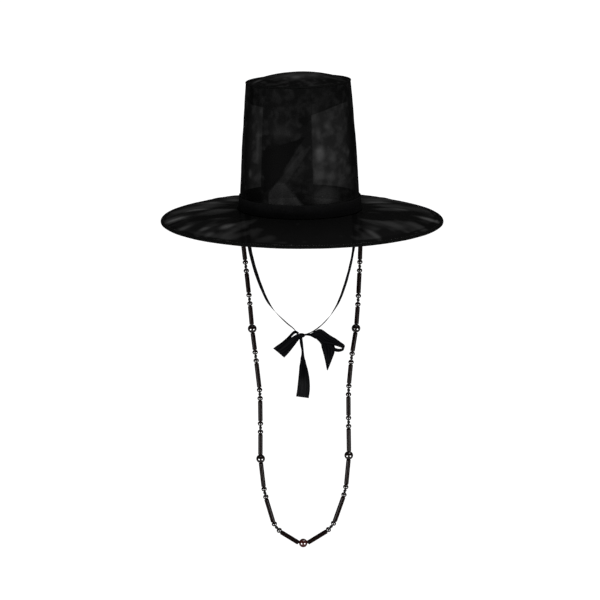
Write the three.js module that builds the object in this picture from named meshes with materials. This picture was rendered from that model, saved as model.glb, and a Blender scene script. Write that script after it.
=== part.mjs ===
// A tall, wide-brimmed costume hat of stiff black sheer cloth, after the old gentleman's hat of Korea.
// It has a ribbon that ties in a bow under the chin, and a long loop of beads that hangs over the chest.
// Millimetres, Z up. The front faces -Y, and the origin is the centre of the head opening, where the
// crown's foot meets the brim. The ribbon and the beads hang as they do on a wearer.
import * as THREE from "three";

const { degToRad, lerp } = THREE.MathUtils;

// Driving dimensions
const CLOTH = 1.2; // thickness of the stiffened cloth walls
const RIBBON = 1.0; // thickness of the satin ribbon
const GAP = 0.3; // clearance between neighbouring pieces

const CROWN = {
  footRadius: 91.3, // outside, for a head of about 565 mm round
  topRadius: 78.5,
  height: 194.4, // from the brim to the top edge
  bulge: 1.2, // how far the wall bows out at half height
  footShift: -0.5, // sideways place of the foot's centre
  topShift: -3.2, // and of the top's: the crown leans a little
  topTilt: degToRad(1.66), // the top edge is higher on the wearer's left
};
const LAP = { from: -40, to: 13, rise: 0.8 }; // where the wall's cloth is double, in degrees from the front
const DOME_RISE = 13.1; // how far the crown's top is domed
const HEM_DEPTH = 30; // how far the top's cloth is turned down inside the wall
const RIM_RADIUS = 1.3; // bound wire round the top edge
const BAND = { height: 21, thickness: 1.2, flare: 1.9 };
const BRIM = {
  edgeRadius: 216.6,
  drop: 17.3, // the outer edge hangs this far below the crown's foot
  power: 2.8, // flat near the crown, curving down towards the edge
  edgeShift: 2.7, // sideways place of the edge's centre
};
const BRIM_WIRE = 1.8; // half thickness of the bound wire at the brim's edge

const SIDES = { crown: 56, top: 48, brim: 72, bead: 10 };

const CLOTH_BLACK = new THREE.MeshStandardMaterial({ color: 0x161616, roughness: 0.7 });
const BAND_BLACK = new THREE.MeshStandardMaterial({ color: 0x0c0c0d, roughness: 0.75 });
const BINDING_BLACK = new THREE.MeshStandardMaterial({ color: 0x080808, roughness: 0.6 });
const SATIN_BLACK = new THREE.MeshStandardMaterial({ color: 0x0e0e10, roughness: 0.4 });
const BEAD_BROWN = new THREE.MeshStandardMaterial({ color: 0x1c1210, roughness: 0.3 });
const BEAD_RED = new THREE.MeshStandardMaterial({ color: 0x3a1712, roughness: 0.25 });

// Helpers

function signedVolume(geometry) {
  const corner = geometry.attributes.position;
  const index = geometry.index;
  const [a, b, c] = [new THREE.Vector3(), new THREE.Vector3(), new THREE.Vector3()];
  let six = 0;
  for (let i = 0; i < index.count; i += 3) {
    a.fromBufferAttribute(corner, index.getX(i));
    b.fromBufferAttribute(corner, index.getX(i + 1));
    c.fromBufferAttribute(corner, index.getX(i + 2));
    six += a.dot(b.cross(c));
  }
  return six / 6;
}

function facingOut(geometry) {
  if (signedVolume(geometry) < 0) {
    const index = geometry.index;
    for (let i = 0; i < index.count; i += 3) {
      const second = index.getX(i + 1);
      index.setX(i + 1, index.getX(i + 2));
      index.setX(i + 2, second);
    }
  }
  geometry.computeVertexNormals();
  return geometry;
}

// One closed solid through rings of equally many points. It closes on itself, or its ends are capped.
function loft(rings, closesOnItself = false) {
  const across = rings[0].length;
  const position = rings.flat().flatMap((point) => point.toArray());
  const index = [];
  const steps = closesOnItself ? rings.length : rings.length - 1;
  for (let ring = 0; ring < steps; ring++) {
    const here = ring * across;
    const next = ((ring + 1) % rings.length) * across;
    for (let i = 0; i < across; i++) {
      const j = (i + 1) % across;
      index.push(here + i, here + j, next + j, here + i, next + j, next + i);
    }
  }
  if (!closesOnItself) {
    const last = (rings.length - 1) * across;
    for (let i = 1; i < across - 1; i++) {
      index.push(0, i + 1, i, last, last + i, last + i + 1);
    }
  }
  const geometry = new THREE.BufferGeometry();
  geometry.setAttribute("position", new THREE.Float32BufferAttribute(position, 3));
  geometry.setIndex(index);
  return facingOut(geometry);
}

// A profile of [radius, height] rows turned about Z, then each of its points moved to its place.
function turned(profile, sides, place) {
  const points = profile.map(([radius, height]) => new THREE.Vector2(radius, height));
  const geometry = new THREE.LatheGeometry(points, sides).rotateX(Math.PI / 2);
  const corner = geometry.attributes.position;
  const point = new THREE.Vector3();
  for (let i = 0; i < corner.count; i++) {
    place(point.fromBufferAttribute(corner, i));
    corner.setXYZ(i, point.x, point.y, point.z);
  }
  return facingOut(geometry);
}

function piece(name, geometry, material) {
  const mesh = new THREE.Mesh(geometry, material);
  mesh.name = name;
  return mesh;
}

// Crown

function crownRadius(height) {
  const share = height / CROWN.height;
  return lerp(CROWN.footRadius, CROWN.topRadius, share) + 4 * CROWN.bulge * share * (1 - share);
}

// Moves a point of an upright crown to its place in the leaning one.
function leanCrown(point) {
  const share = point.z / CROWN.height;
  point.z += point.x * Math.tan(CROWN.topTilt * share);
  point.x += lerp(CROWN.footShift, CROWN.topShift, share);
  return point;
}

// The wall is one strip of cloth wrapped round, and its ends lap at the front.
function crownSide() {
  const foot = GAP;
  const top = CROWN.height - RIM_RADIUS - GAP;
  const heights = [0, 0.35, 0.7, 1].map((share) => lerp(foot, top, share));
  const edge = 0.4; // half width of the lap's edge, in degrees
  const angles = [LAP.from - edge, LAP.from + edge, LAP.to - edge, LAP.to + edge];
  const step = 360 / SIDES.crown;
  for (let angle = -180; angle < 180; angle += step) {
    if (angles.slice(0, 4).every((lapEdge) => Math.abs(angle - lapEdge) > step / 3)) angles.push(angle);
  }
  angles.sort((a, b) => a - b);
  const sections = angles.map((angle) => {
    const rise = angle > LAP.from && angle < LAP.to ? LAP.rise : 0;
    const towards = new THREE.Vector3(Math.sin(degToRad(angle)), -Math.cos(degToRad(angle)), 0);
    const at = (radius, height) => {
      return leanCrown(towards.clone().multiplyScalar(radius).setZ(height));
    };
    const outside = heights.map((height) => at(crownRadius(height) + rise, height));
    const inside = heights.map((height) => at(crownRadius(height) - CLOTH, height));
    return [...outside, ...inside.reverse()];
  });
  return loft(sections, true);
}

// The top is a shallow dome whose cloth is turned down inside the wall as a hem.
function crownTop() {
  const edgeRadius = CROWN.topRadius - CLOTH / 2 - RIM_RADIUS - GAP;
  const hemFoot = CROWN.height - HEM_DEPTH;
  const hemRadius = crownRadius(hemFoot) - CLOTH - GAP;
  const shares = [0, 0.35, 0.63, 0.85, 1];
  const dome = (radius, lower) => {
    return shares.map((share) => [
      radius * share,
      CROWN.height + DOME_RISE * (1 - share * share) - lower,
    ]);
  };
  const profile = [
    ...dome(edgeRadius, 0),
    [hemRadius, hemFoot],
    [hemRadius - CLOTH, hemFoot],
    ...dome(edgeRadius - CLOTH, CLOTH).reverse(),
  ];
  return turned(profile, SIDES.top, leanCrown);
}

function hexagon(radius, height, size) {
  return [0, 60, 120, 180, 240, 300, 360].map((angle) => [
    radius + size * Math.cos(degToRad(angle)),
    height + size * Math.sin(degToRad(angle)),
  ]);
}

function crownRim() {
  const wire = hexagon(CROWN.topRadius - CLOTH / 2, CROWN.height, RIM_RADIUS);
  return turned(wire, SIDES.crown, leanCrown);
}

// A ribbon band sits round the crown's foot and spreads a little where it meets the brim.
function crownBand() {
  const foot = GAP;
  const waist = BAND.height * 0.45;
  const clear = LAP.rise + GAP;
  const inside = [foot, waist, BAND.height].map((height) => [
    crownRadius(height) + clear + (height === foot ? BAND.flare : 0),
    height,
  ]);
  const outside = inside.map(([radius, height]) => [radius + BAND.thickness, height]).reverse();
  return turned([...inside, ...outside, inside[0]], SIDES.crown, leanCrown);
}

// Brim

function brimShare(radius) {
  const share = (radius - CROWN.footRadius) / (BRIM.edgeRadius - CROWN.footRadius);
  return Math.max(share, 0);
}

function brimHeight(radius) {
  return -BRIM.drop * brimShare(radius) ** BRIM.power;
}

function shiftBrim(point) {
  const share = brimShare(Math.hypot(point.x, point.y));
  point.x += lerp(CROWN.footShift, BRIM.edgeShift, share);
  return point;
}

function brim() {
  const holeRadius = CROWN.footRadius - CLOTH;
  const outerRadius = BRIM.edgeRadius - 2 * BRIM_WIRE - GAP;
  const radii = [0, 0.3, 0.53, 0.71, 0.86, 1].map((share) => lerp(holeRadius, outerRadius, share));
  const upper = radii.map((radius) => [radius, brimHeight(radius)]);
  const lower = upper.map(([radius, height]) => [radius, height - CLOTH]).reverse();
  return turned([...upper, ...lower, upper[0]], SIDES.brim, shiftBrim);
}

function brimEdge() {
  const radius = BRIM.edgeRadius - BRIM_WIRE;
  const wire = hexagon(radius, brimHeight(radius) - CLOTH / 2, BRIM_WIRE);
  return turned(wire, SIDES.brim, shiftBrim);
}

// Ribbon. Each row is a place along a length of ribbon: x, y, z is its middle and width its width there.
// lie is the direction of its width in the X-Z plane, in degrees up from +X, and turn brings that edge
// round towards the front, so at 90 the ribbon is seen on edge.

const TIE_RIGHT = [
  { x: 80.7, y: -31.8, z: 16, width: 20, lie: 180, turn: 68 },
  { x: 81.5, y: -32.1, z: 0, width: 20, lie: 180, turn: 68 },
  { x: 82.3, y: -39.0, z: -24, width: 20, lie: 180, turn: 76 },
  { x: 80.6, y: -47.5, z: -52, width: 20, lie: 180, turn: 84 },
  { x: 71.6, y: -57.6, z: -93, width: 20, lie: 160, turn: 85 },
  { x: 59.2, y: -64.4, z: -129, width: 18, lie: 150, turn: 86 },
  { x: 46.5, y: -68.3, z: -151, width: 15, lie: 140, turn: 86 },
  { x: 30.5, y: -71.4, z: -168, width: 11, lie: 120, turn: 86 },
  { x: 16.2, y: -74.0, z: -177.2, width: 6, lie: 100, turn: 84 },
  { x: 5.8, y: -77.4, z: -180.0, width: 3.6, lie: 95, turn: 84 },
];
const TIE_LEFT = [
  { x: -78.8, y: -39.2, z: 16, width: 20, lie: 0, turn: 63 },
  { x: -79.2, y: -39.6, z: 0, width: 20, lie: 0, turn: 63 },
  { x: -78.9, y: -43.5, z: -24, width: 20, lie: 0, turn: 70 },
  { x: -76.4, y: -49.8, z: -52, width: 20, lie: 5, turn: 77 },
  { x: -65.4, y: -57.6, z: -93, width: 20, lie: 20, turn: 79 },
  { x: -48.8, y: -64.8, z: -132, width: 18, lie: 32, turn: 81 },
  { x: -36.5, y: -67.9, z: -148, width: 15, lie: 40, turn: 83 },
  { x: -20.5, y: -71.5, z: -163, width: 11, lie: 55, turn: 84 },
  { x: -9.0, y: -72.6, z: -172.6, width: 6, lie: 55, turn: 84 },
  { x: -3.6, y: -77.2, z: -180.6, width: 3.6, lie: 50, turn: 84 },
];
const LOOP_LEFT = [
  { x: -3.6, y: -80.2, z: -184.2, width: 4, lie: -50, turn: 10 },
  { x: -12.0, y: -81.4, z: -188.2, width: 9, lie: -52, turn: 4 },
  { x: -23.0, y: -81.8, z: -199.9, width: 17, lie: -47, turn: 2 },
  { x: -30.4, y: -81.2, z: -206.0, width: 21, lie: -42, turn: 0 },
  { x: -32.6, y: -79.4, z: -207.8, width: 22, lie: -41, turn: 0 },
  { x: -30.2, y: -77.8, z: -205.6, width: 21, lie: -42, turn: 0 },
  { x: -22.0, y: -77.8, z: -195.4, width: 14, lie: -48, turn: 0 },
  { x: -13.0, y: -78.0, z: -181.0, width: 6, lie: -50, turn: 0 },
  { x: -7.4, y: -79.0, z: -175.2, width: 4, lie: -60, turn: 0 },
  { x: -2.6, y: -79.8, z: -177.6, width: 3, lie: -110, turn: 0 },
];
const LOOP_RIGHT = [
  { x: 5.3, y: -80.4, z: -181.0, width: 3.2, lie: 85, turn: 0 },
  { x: 15.5, y: -81.4, z: -179.2, width: 4, lie: 90, turn: 4 },
  { x: 22.6, y: -82.4, z: -178.6, width: 13, lie: 90, turn: 10 },
  { x: 28.8, y: -83.4, z: -177.6, width: 18, lie: 78, turn: 14 },
  { x: 39.9, y: -83.8, z: -185.6, width: 19.5, lie: 57, turn: 22 },
  { x: 53.3, y: -83.4, z: -194.0, width: 18.5, lie: 56, turn: 25 },
  { x: 61.6, y: -80.8, z: -198.9, width: 17, lie: 58, turn: 25 },
  { x: 57.6, y: -77.2, z: -198.4, width: 16.5, lie: 57, turn: 22 },
  { x: 46.0, y: -76.6, z: -190.6, width: 15, lie: 56, turn: 18 },
  { x: 32.0, y: -77.2, z: -182.6, width: 11, lie: 66, turn: 8 },
  { x: 18.0, y: -78.4, z: -179.8, width: 3.8, lie: 88, turn: 2 },
];
const TAIL_RIGHT = [
  { x: 4.7, y: -76.2, z: -183.7, width: 2.6, lie: 80, turn: 0 },
  { x: 16.0, y: -74.6, z: -180.6, width: 3.2, lie: 88, turn: 0 },
  { x: 25.0, y: -71.0, z: -184.4, width: 8, lie: 80, turn: 0 },
  { x: 36.6, y: -68.0, z: -192.0, width: 15, lie: 45, turn: 0 },
  { x: 42.4, y: -67.0, z: -202.3, width: 20, lie: 10, turn: 0 },
  { x: 43.3, y: -67.0, z: -210.3, width: 17.8, lie: 2, turn: 0 },
  { x: 43.0, y: -67.4, z: -218.2, width: 13, lie: 0, turn: 2 },
  { x: 42.2, y: -68.0, z: -228.0, width: 7, lie: 0, turn: 4 },
  { x: 41.2, y: -68.6, z: -237.8, width: 1, lie: 0, turn: 6 },
];
const TAIL_CENTRE = [
  { x: 1.2, y: -81.6, z: -187.0, width: 5, lie: 0, turn: 30 },
  { x: 2.2, y: -82.6, z: -195.0, width: 8, lie: 0, turn: 66 },
  { x: 3.6, y: -82.8, z: -205.0, width: 14, lie: 0, turn: 83 },
  { x: 4.2, y: -82.6, z: -217.0, width: 19, lie: 0, turn: 67 },
  { x: 5.0, y: -82.4, z: -230.0, width: 20, lie: 0, turn: 51 },
  { x: 5.5, y: -82.2, z: -246.0, width: 20, lie: -1, turn: 34 },
  { x: 5.0, y: -81.8, z: -263.0, width: 20, lie: -3, turn: 18 },
  { x: 3.2, y: -81.4, z: -277.0, width: 20, lie: -4, turn: 14 },
];
const KNOT = { x: 1.0, y: -78.4, z: -182.0, wide: 4.7, deep: 3.6, high: 4.8 };

function ribbon(rows, steps) {
  const middle = new THREE.CatmullRomCurve3(rows.map((row) => new THREE.Vector3(row.x, row.y, row.z)));
  const form = new THREE.CatmullRomCurve3(
    rows.map((row) => new THREE.Vector3(row.width, degToRad(row.lie), degToRad(row.turn))),
  );
  const sections = [];
  for (let step = 0; step <= steps; step++) {
    const t = step / steps;
    const centre = middle.getPoint(t);
    const { x: width, y: lie, z: turn } = form.getPoint(t);
    const along = new THREE.Vector3(
      Math.cos(lie) * Math.cos(turn),
      -Math.sin(turn),
      Math.sin(lie) * Math.cos(turn),
    );
    const through = middle.getTangent(t).cross(along).normalize();
    const corner = (a, b) => {
      return centre
        .clone()
        .addScaledVector(along, (a * width) / 2)
        .addScaledVector(through, (b * RIBBON) / 2);
    };
    sections.push([corner(-1, -1), corner(1, -1), corner(1, 1), corner(-1, 1)]);
  }
  return loft(sections);
}

function bowKnot() {
  const ball = new THREE.SphereGeometry(1, 12, 8);
  return facingOut(ball.scale(KNOT.wide, KNOT.deep, KNOT.high).translate(KNOT.x, KNOT.y, KNOT.z));
}

// Beads. Each side is one string from the centre bead up to the brim.

const CENTRE_BEAD = new THREE.Vector3(4.5, -70, -515.3);
const BIG = { radius: 6.5, length: 12.6 };
const SMALL = { radius: 4.1, length: 7.0, pitch: 13.0 }; // pitch is the distance within a pair
const TUBE = { radius: 3.2, chamfer: 1, mouth: 0.7 }; // mouth is the end's share of the radius
const NECK_RADIUS = 1.9; // the knotted cord between two small beads
const THREAD_RADIUS = 0.8;
const BORE_RADIUS = 1.6;
const END_KNOT = { radius: 2.2, length: 4.4 };
const BRIM_CLEARANCE = CLOTH + 0.4; // the knots end this far under the brim's upper face

// What is strung on each side, from the centre bead up: pairs of small beads and single big ones, with
// a tube filling each space between, and the knot under the brim. A row gives its distance out from the
// head's middle, forward of it, and down from the brim.
const STRING_LEFT = [
  { bead: "pair", out: 36.9, fore: 70.0, drop: 489.7 },
  { bead: "pair", out: 54.6, fore: 70.0, drop: 433.6 },
  { bead: "big", out: 61.0, fore: 70.0, drop: 378.3 },
  { bead: "pair", out: 61.0, fore: 69.4, drop: 328.8 },
  { bead: "pair", out: 61.8, fore: 61.7, drop: 277.5 },
  { bead: "pair", out: 68.2, fore: 52.7, drop: 220.3 },
  { bead: "big", out: 73.4, fore: 46.1, drop: 178.3 },
  { bead: "pair", out: 77.5, fore: 39.1, drop: 133.9 },
  { bead: "pair", out: 82.9, fore: 31.3, drop: 84.5 },
  { bead: "pair", out: 88.2, fore: 25.0, drop: 37.0 },
  { bead: "knot", out: 91.5, fore: 22.0, drop: 3.9 },
];
const STRING_RIGHT = [
  { bead: "pair", out: 47.9, fore: 70.0, drop: 488.5 },
  { bead: "pair", out: 68.9, fore: 70.0, drop: 430.1 },
  { bead: "big", out: 74.5, fore: 70.0, drop: 372.9 },
  { bead: "pair", out: 73.9, fore: 68.5, drop: 320.0 },
  { bead: "pair", out: 73.9, fore: 60.8, drop: 271.6 },
  { bead: "pair", out: 78.3, fore: 53.0, drop: 222.5 },
  { bead: "big", out: 85.0, fore: 46.0, drop: 177.7 },
  { bead: "pair", out: 88.1, fore: 39.2, drop: 135.0 },
  { bead: "pair", out: 90.4, fore: 31.2, drop: 84.0 },
  { bead: "pair", out: 91.8, fore: 25.0, drop: 37.0 },
  { bead: "knot", out: 92.6, fore: 22.0, drop: 3.9 },
];

// Rings of a bead as [share of its length, radius] rows.
function roundShape(radius, steps) {
  const rows = [];
  for (let step = 1; step < steps; step++) {
    const angle = (Math.PI * step) / steps;
    rows.push([(1 - Math.cos(angle)) / 2, radius * Math.sin(angle)]);
  }
  return rows;
}

function tubeShape(length) {
  const bevel = TUBE.chamfer / length;
  const mouth = TUBE.radius * TUBE.mouth;
  return [[0, mouth], [bevel, TUBE.radius], [1 - bevel, TUBE.radius], [1, mouth]];
}

function cordShape(radius) {
  return [[0.04, radius], [0.96, radius]];
}

function beadString(side, rows) {
  const inBore = CENTRE_BEAD.clone().setX(CENTRE_BEAD.x + side * 0.3);
  const leaving = inBore.clone().add(new THREE.Vector3(side * 7.2, 0, 0.4));
  const strung = rows.map((row) => new THREE.Vector3(side * row.out, -row.fore, -row.drop));
  const above = strung.at(-1).clone().setZ(-BRIM_CLEARANCE);
  const route = new THREE.CatmullRomCurve3([inBore, leaving, ...strung, above], false, "centripetal");
  const fine = 40;
  const walks = route.getLengths((route.points.length - 1) * fine);
  const whole = route.getLength();
  const rings = [];
  let walked = 0;

  const thread = (length, shape) => {
    const start = route.getPointAt(walked / whole);
    const end = route.getPointAt(Math.min((walked + length) / whole, 1));
    const direction = end.clone().sub(start);
    const right = direction.clone().cross(new THREE.Vector3(0, 1, 0)).normalize();
    const front = direction.clone().cross(right).normalize();
    for (const [share, radius] of shape) {
      const centre = start.clone().addScaledVector(direction, share);
      const ring = [];
      for (let i = 0; i < SIDES.bead; i++) {
        const angle = (2 * Math.PI * i) / SIDES.bead;
        const point = centre.clone().addScaledVector(right, radius * Math.cos(angle));
        ring.push(point.addScaledVector(front, radius * Math.sin(angle)));
      }
      rings.push(ring);
    }
    walked += length;
  };

  thread(BIG.length / 2 + 1.8, cordShape(THREAD_RADIUS)); // from inside the centre bead's bore
  for (const [i, row] of rows.entries()) {
    const middle = walks[(i + 2) * fine];
    if (row.bead === "pair") {
      const tube = middle - (SMALL.pitch + SMALL.length) / 2 - walked;
      thread(tube, tubeShape(tube));
      thread(SMALL.length, roundShape(SMALL.radius, 4));
      thread(SMALL.pitch - SMALL.length, [[0.5, NECK_RADIUS]]);
      thread(SMALL.length, roundShape(SMALL.radius, 4));
    } else if (row.bead === "big") {
      const tube = middle - BIG.length / 2 - walked;
      thread(tube, tubeShape(tube));
      thread(BIG.length, roundShape(BIG.radius, 7));
    } else {
      thread(middle - END_KNOT.length / 2 - walked, cordShape(THREAD_RADIUS));
      thread(END_KNOT.length, roundShape(END_KNOT.radius, 5));
    }
  }
  return loft(rings);
}

function centreBead() {
  const half = BIG.length / 2;
  const outside = roundShape(BIG.radius, 7).map(([share, radius]) => [radius, (2 * share - 1) * half]);
  const bore = [[BORE_RADIUS, -half + 0.2], ...outside, [BORE_RADIUS, half - 0.2], [BORE_RADIUS, -half + 0.2]];
  return turned(bore, SIDES.bead + 2, (point) => {
    // the bore lies across, along X
    point.set(point.z, point.y, point.x).add(CENTRE_BEAD);
  });
}

const hat = new THREE.Group();
hat.add(
  piece("crown_side", crownSide(), CLOTH_BLACK),
  piece("crown_top", crownTop(), CLOTH_BLACK),
  piece("crown_rim", crownRim(), BINDING_BLACK),
  piece("crown_band", crownBand(), BAND_BLACK),
  piece("brim", brim(), CLOTH_BLACK),
  piece("brim_edge", brimEdge(), BINDING_BLACK),
  piece("tie_left", ribbon(TIE_LEFT, 18), SATIN_BLACK),
  piece("tie_right", ribbon(TIE_RIGHT, 18), SATIN_BLACK),
  piece("bow_knot", bowKnot(), SATIN_BLACK),
  piece("bow_loop_left", ribbon(LOOP_LEFT, 24), SATIN_BLACK),
  piece("bow_loop_right", ribbon(LOOP_RIGHT, 27), SATIN_BLACK),
  piece("bow_tail_centre", ribbon(TAIL_CENTRE, 14), SATIN_BLACK),
  piece("bow_tail_right", ribbon(TAIL_RIGHT, 12), SATIN_BLACK),
  piece("bead_string_left", beadString(-1, STRING_LEFT), BEAD_BROWN),
  piece("bead_string_right", beadString(1, STRING_RIGHT), BEAD_BROWN),
  piece("centre_bead", centreBead(), BEAD_RED),
);

export default hat;
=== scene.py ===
# %% [markdown]
# A tall, wide-brimmed costume hat of stiff black sheer cloth, with a ribbon that ties under the chin
# and a long loop of beads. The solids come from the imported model, and this script dresses them: each
# piece is made again with its real thickness, folds and finish, in the same place.
# Everything is in metres, Z up, and the front of the hat faces -Y.

# %% Load the frame
import math

import bmesh
import bpy
import numpy as np
from mathutils import Matrix, Vector, noise


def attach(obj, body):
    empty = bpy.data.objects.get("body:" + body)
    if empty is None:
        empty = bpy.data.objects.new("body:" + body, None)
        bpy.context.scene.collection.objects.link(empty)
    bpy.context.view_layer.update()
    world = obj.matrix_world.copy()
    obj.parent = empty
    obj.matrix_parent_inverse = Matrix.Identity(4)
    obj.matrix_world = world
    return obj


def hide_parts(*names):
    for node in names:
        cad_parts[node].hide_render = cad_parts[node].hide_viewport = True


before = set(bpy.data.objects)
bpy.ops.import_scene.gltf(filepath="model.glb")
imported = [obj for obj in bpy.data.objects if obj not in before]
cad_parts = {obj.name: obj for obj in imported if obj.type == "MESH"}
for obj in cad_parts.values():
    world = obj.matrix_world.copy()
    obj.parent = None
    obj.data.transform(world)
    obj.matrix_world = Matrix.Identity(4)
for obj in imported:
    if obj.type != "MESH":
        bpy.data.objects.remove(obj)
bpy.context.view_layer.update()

MM = 0.001

# %% [markdown]
# The hat was photographed against white, about 3 m away, from a little above the brim. A long lens
# keeps the brim's ellipse as flat as it is in the picture. The camera comes first, so that every
# later choice can be judged through it.

# %% Camera
CAMERA_PLACE = (-0.00046, -3.0048, 0.5614)
CAMERA_DOWN = 13.215  # degrees below the horizon
LENS = 119.9  # on a sensor 36 mm wide

scene = bpy.context.scene
camera = bpy.data.objects.new("camera", bpy.data.cameras.new("camera"))
camera.location = CAMERA_PLACE
camera.rotation_euler = (math.radians(90 - CAMERA_DOWN), 0, 0)
camera.data.lens = LENS
camera.data.sensor_width = 36
scene.collection.objects.link(camera)
scene.camera = camera
print("camera", round(math.dist(CAMERA_PLACE, (0, 0, 0)), 2), "m from the head opening")

# %% [markdown]
# Node trees are long when each node is written out by hand. One small function adds a node, sets its
# settings and joins its inputs, and another turns the colours that people read off a screen into the
# linear numbers that Blender's sockets take. Every finish of the hat ends in the same way, with two
# tones laid by a pattern and perhaps a little relief, so that end is written once as well.

# %% Helpers for node trees
def feed(tree, node, inputs):
    """Sets a node's inputs, each to a number, a vector, an output socket or a node's first output."""
    for key, value in inputs.items():
        if isinstance(value, bpy.types.Node):
            value = value.outputs[0]
        if isinstance(value, bpy.types.NodeSocket):
            tree.links.new(value, node.inputs[key])
        else:
            node.inputs[key].default_value = value


def add(tree, kind, inputs=None, **settings):
    """Adds a node with its settings and links."""
    node = tree.nodes.new(kind)
    for name, value in settings.items():
        setattr(node, name, value)
    feed(tree, node, inputs or {})
    return node


def linear(colour):
    """An sRGB hex colour as linear red, green, blue and alpha."""
    channels = [int(colour[i:i + 2], 16) / 255 for i in (1, 3, 5)]
    straight = [c / 12.92 if c <= 0.04045 else ((c + 0.055) / 1.055) ** 2.4 for c in channels]
    return (*straight, 1.0)


def new_material(name):
    material = bpy.data.materials.new(name)
    material.use_nodes = True
    return material, material.node_tree


def finish_material(material, pattern, dark, light, sockets, bump=None):
    """Tones the shader from dark to light by a pattern. bump is a height, its strength and its depth."""
    tree = material.node_tree
    tone = add(tree, "ShaderNodeMix", {0: pattern, 6: linear(dark), 7: linear(light)}, data_type="RGBA")
    feed(tree, tree.nodes["Principled BSDF"], {"Base Color": tone.outputs[2], **sockets})
    if bump:
        relief = add(tree, "ShaderNodeBump", dict(zip(("Height", "Strength", "Distance"), bump)))
        feed(tree, tree.nodes["Principled BSDF"], {"Normal": relief})
    return material


print("mid grey is", round(linear("#808080")[0], 3), "in linear light")

# %% [markdown]
# A catalogue picture has a floor and a background that melt into each other. A wide pale floor lies
# well below the beads, so no shadow touches the hat, and the sky behind it is as white as the floor.
# What the glossy beads and the cloth reflect is dimmer, as in a real studio, where only the backdrop
# is bright: sky and paper are white for the camera's own rays and dark for all others.

# %% Floor and sky
FLOOR_DEPTH = -1.4
FLOOR_RADIUS = 40.0
SKY_LIGHT = 1.05  # what the camera sees behind the floor
ROOM_LIGHT = 0.02  # what the hat reflects of the studio beyond its lamps
WHITE = (1, 1, 1, 1)


def make_floor():
    mesh = bpy.data.meshes.new("floor")
    form = bmesh.new()
    bmesh.ops.create_circle(form, cap_ends=True, segments=96, radius=FLOOR_RADIUS)
    bmesh.ops.translate(form, verts=form.verts, vec=(0, 0, FLOOR_DEPTH))
    form.to_mesh(mesh)
    form.free()
    material, tree = new_material("white studio paper")
    ray = add(tree, "ShaderNodeLightPath")
    feed(tree, tree.nodes["Principled BSDF"], {
        "Base Color": linear("#5e5e5e"), "Roughness": 0.9, "Specular IOR Level": 0.1,
        "Emission Color": WHITE, "Emission Strength": ray.outputs["Is Camera Ray"]})
    mesh.materials.append(material)
    floor = bpy.data.objects.new("floor", mesh)
    scene.collection.objects.link(floor)


def make_sky():
    world = bpy.data.worlds.new("studio")
    world.use_nodes = True
    scene.world = world
    tree = world.node_tree
    tree.nodes.clear()
    room = add(tree, "ShaderNodeBackground", {"Color": WHITE, "Strength": ROOM_LIGHT})
    seen = add(tree, "ShaderNodeBackground", {"Color": WHITE, "Strength": SKY_LIGHT})
    ray = add(tree, "ShaderNodeLightPath")
    mix = add(tree, "ShaderNodeMixShader", {0: ray.outputs["Is Camera Ray"], 1: room, 2: seen})
    add(tree, "ShaderNodeOutputWorld", {"Surface": mix})


make_floor()
make_sky()
scene.view_settings.view_transform = "Standard"
print("floor at", FLOOR_DEPTH, "m")

# %% [markdown]
# The two white dots on each big bead in the picture are a softbox on each side. They sit just below
# the bead's middle, so the boxes stand low, which also leaves the foot of the crown in the brim's
# shade. Two area lamps are the softboxes, and a wide sun gives the even light from high above.

# %% Lights
def add_light(name, kind, place, aim, energy, size):
    lamp = bpy.data.lights.new(name, kind)
    lamp.energy = energy
    if kind == "SUN":
        lamp.angle = size
    else:
        lamp.shape = "RECTANGLE"
        lamp.size, lamp.size_y = size
    holder = bpy.data.objects.new(name, lamp)
    holder.location = place
    holder.rotation_euler = (Vector(aim) - Vector(place)).to_track_quat("-Z", "Y").to_euler()
    scene.collection.objects.link(holder)


add_light("overhead", "SUN", (0.3, 0.2, 3.0), (0, 0, 0), 2.3, math.radians(50))
add_light("softbox_left", "AREA", (-1.5, -1.7, -0.72), (0, 0, -0.1), 54, (1.1, 1.0))
add_light("softbox_right", "AREA", (1.5, -1.7, -0.68), (0, 0, -0.1), 50, (1.1, 1.0))

# %% [markdown]
# The hat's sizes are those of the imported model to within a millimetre, and they came from a head about
# 565 mm round. The crown is a cone that bows out a little and leans to one side, and the brim is flat
# at the crown and curves down towards its edge. Short functions give a point on each, so that every
# seam, hem and stitch is put on the surface by the same rule as the cloth itself.

# %% Sizes and the rules of the crown and brim
CROWN = {"foot": 91.8 * MM, "top": 79.0 * MM, "height": 194.4 * MM, "bulge": 1.2 * MM}
LEAN = {"foot": -0.5 * MM, "top": -3.2 * MM, "tilt": math.radians(1.66)}
LAP_FROM = -40.0  # degrees from the front: the inner end of the wall's cloth
LAP_TO = 13.0  # and its outer end
DOME_RISE = 13.6 * MM
BRIM = {"hole": 90.1 * MM, "edge": 216.0 * MM, "drop": 17.2 * MM, "power": 2.8, "shift": 2.7 * MM}
WIRE = 1.8 * MM  # half thickness of the bound wire at the brim's edge


def crown_radius(height):
    share = height / CROWN["height"]
    straight = CROWN["foot"] + (CROWN["top"] - CROWN["foot"]) * share
    return straight + 4 * CROWN["bulge"] * share * (1 - share)


def around(degrees, radius, height):
    """A point on an upright crown, its angle counted from the front towards +X."""
    angle = math.radians(degrees)
    return Vector((math.sin(angle) * radius, -math.cos(angle) * radius, height))


def lean(point):
    """Moves a point of the upright crown to its place in the leaning one."""
    share = point.z / CROWN["height"]
    rise = point.x * math.tan(LEAN["tilt"] * share)
    return Vector((point.x + LEAN["foot"] + (LEAN["top"] - LEAN["foot"]) * share, point.y, point.z + rise))


def on_crown(degrees, height, proud=0.0):
    return lean(around(degrees, crown_radius(height) + proud, height))


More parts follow.
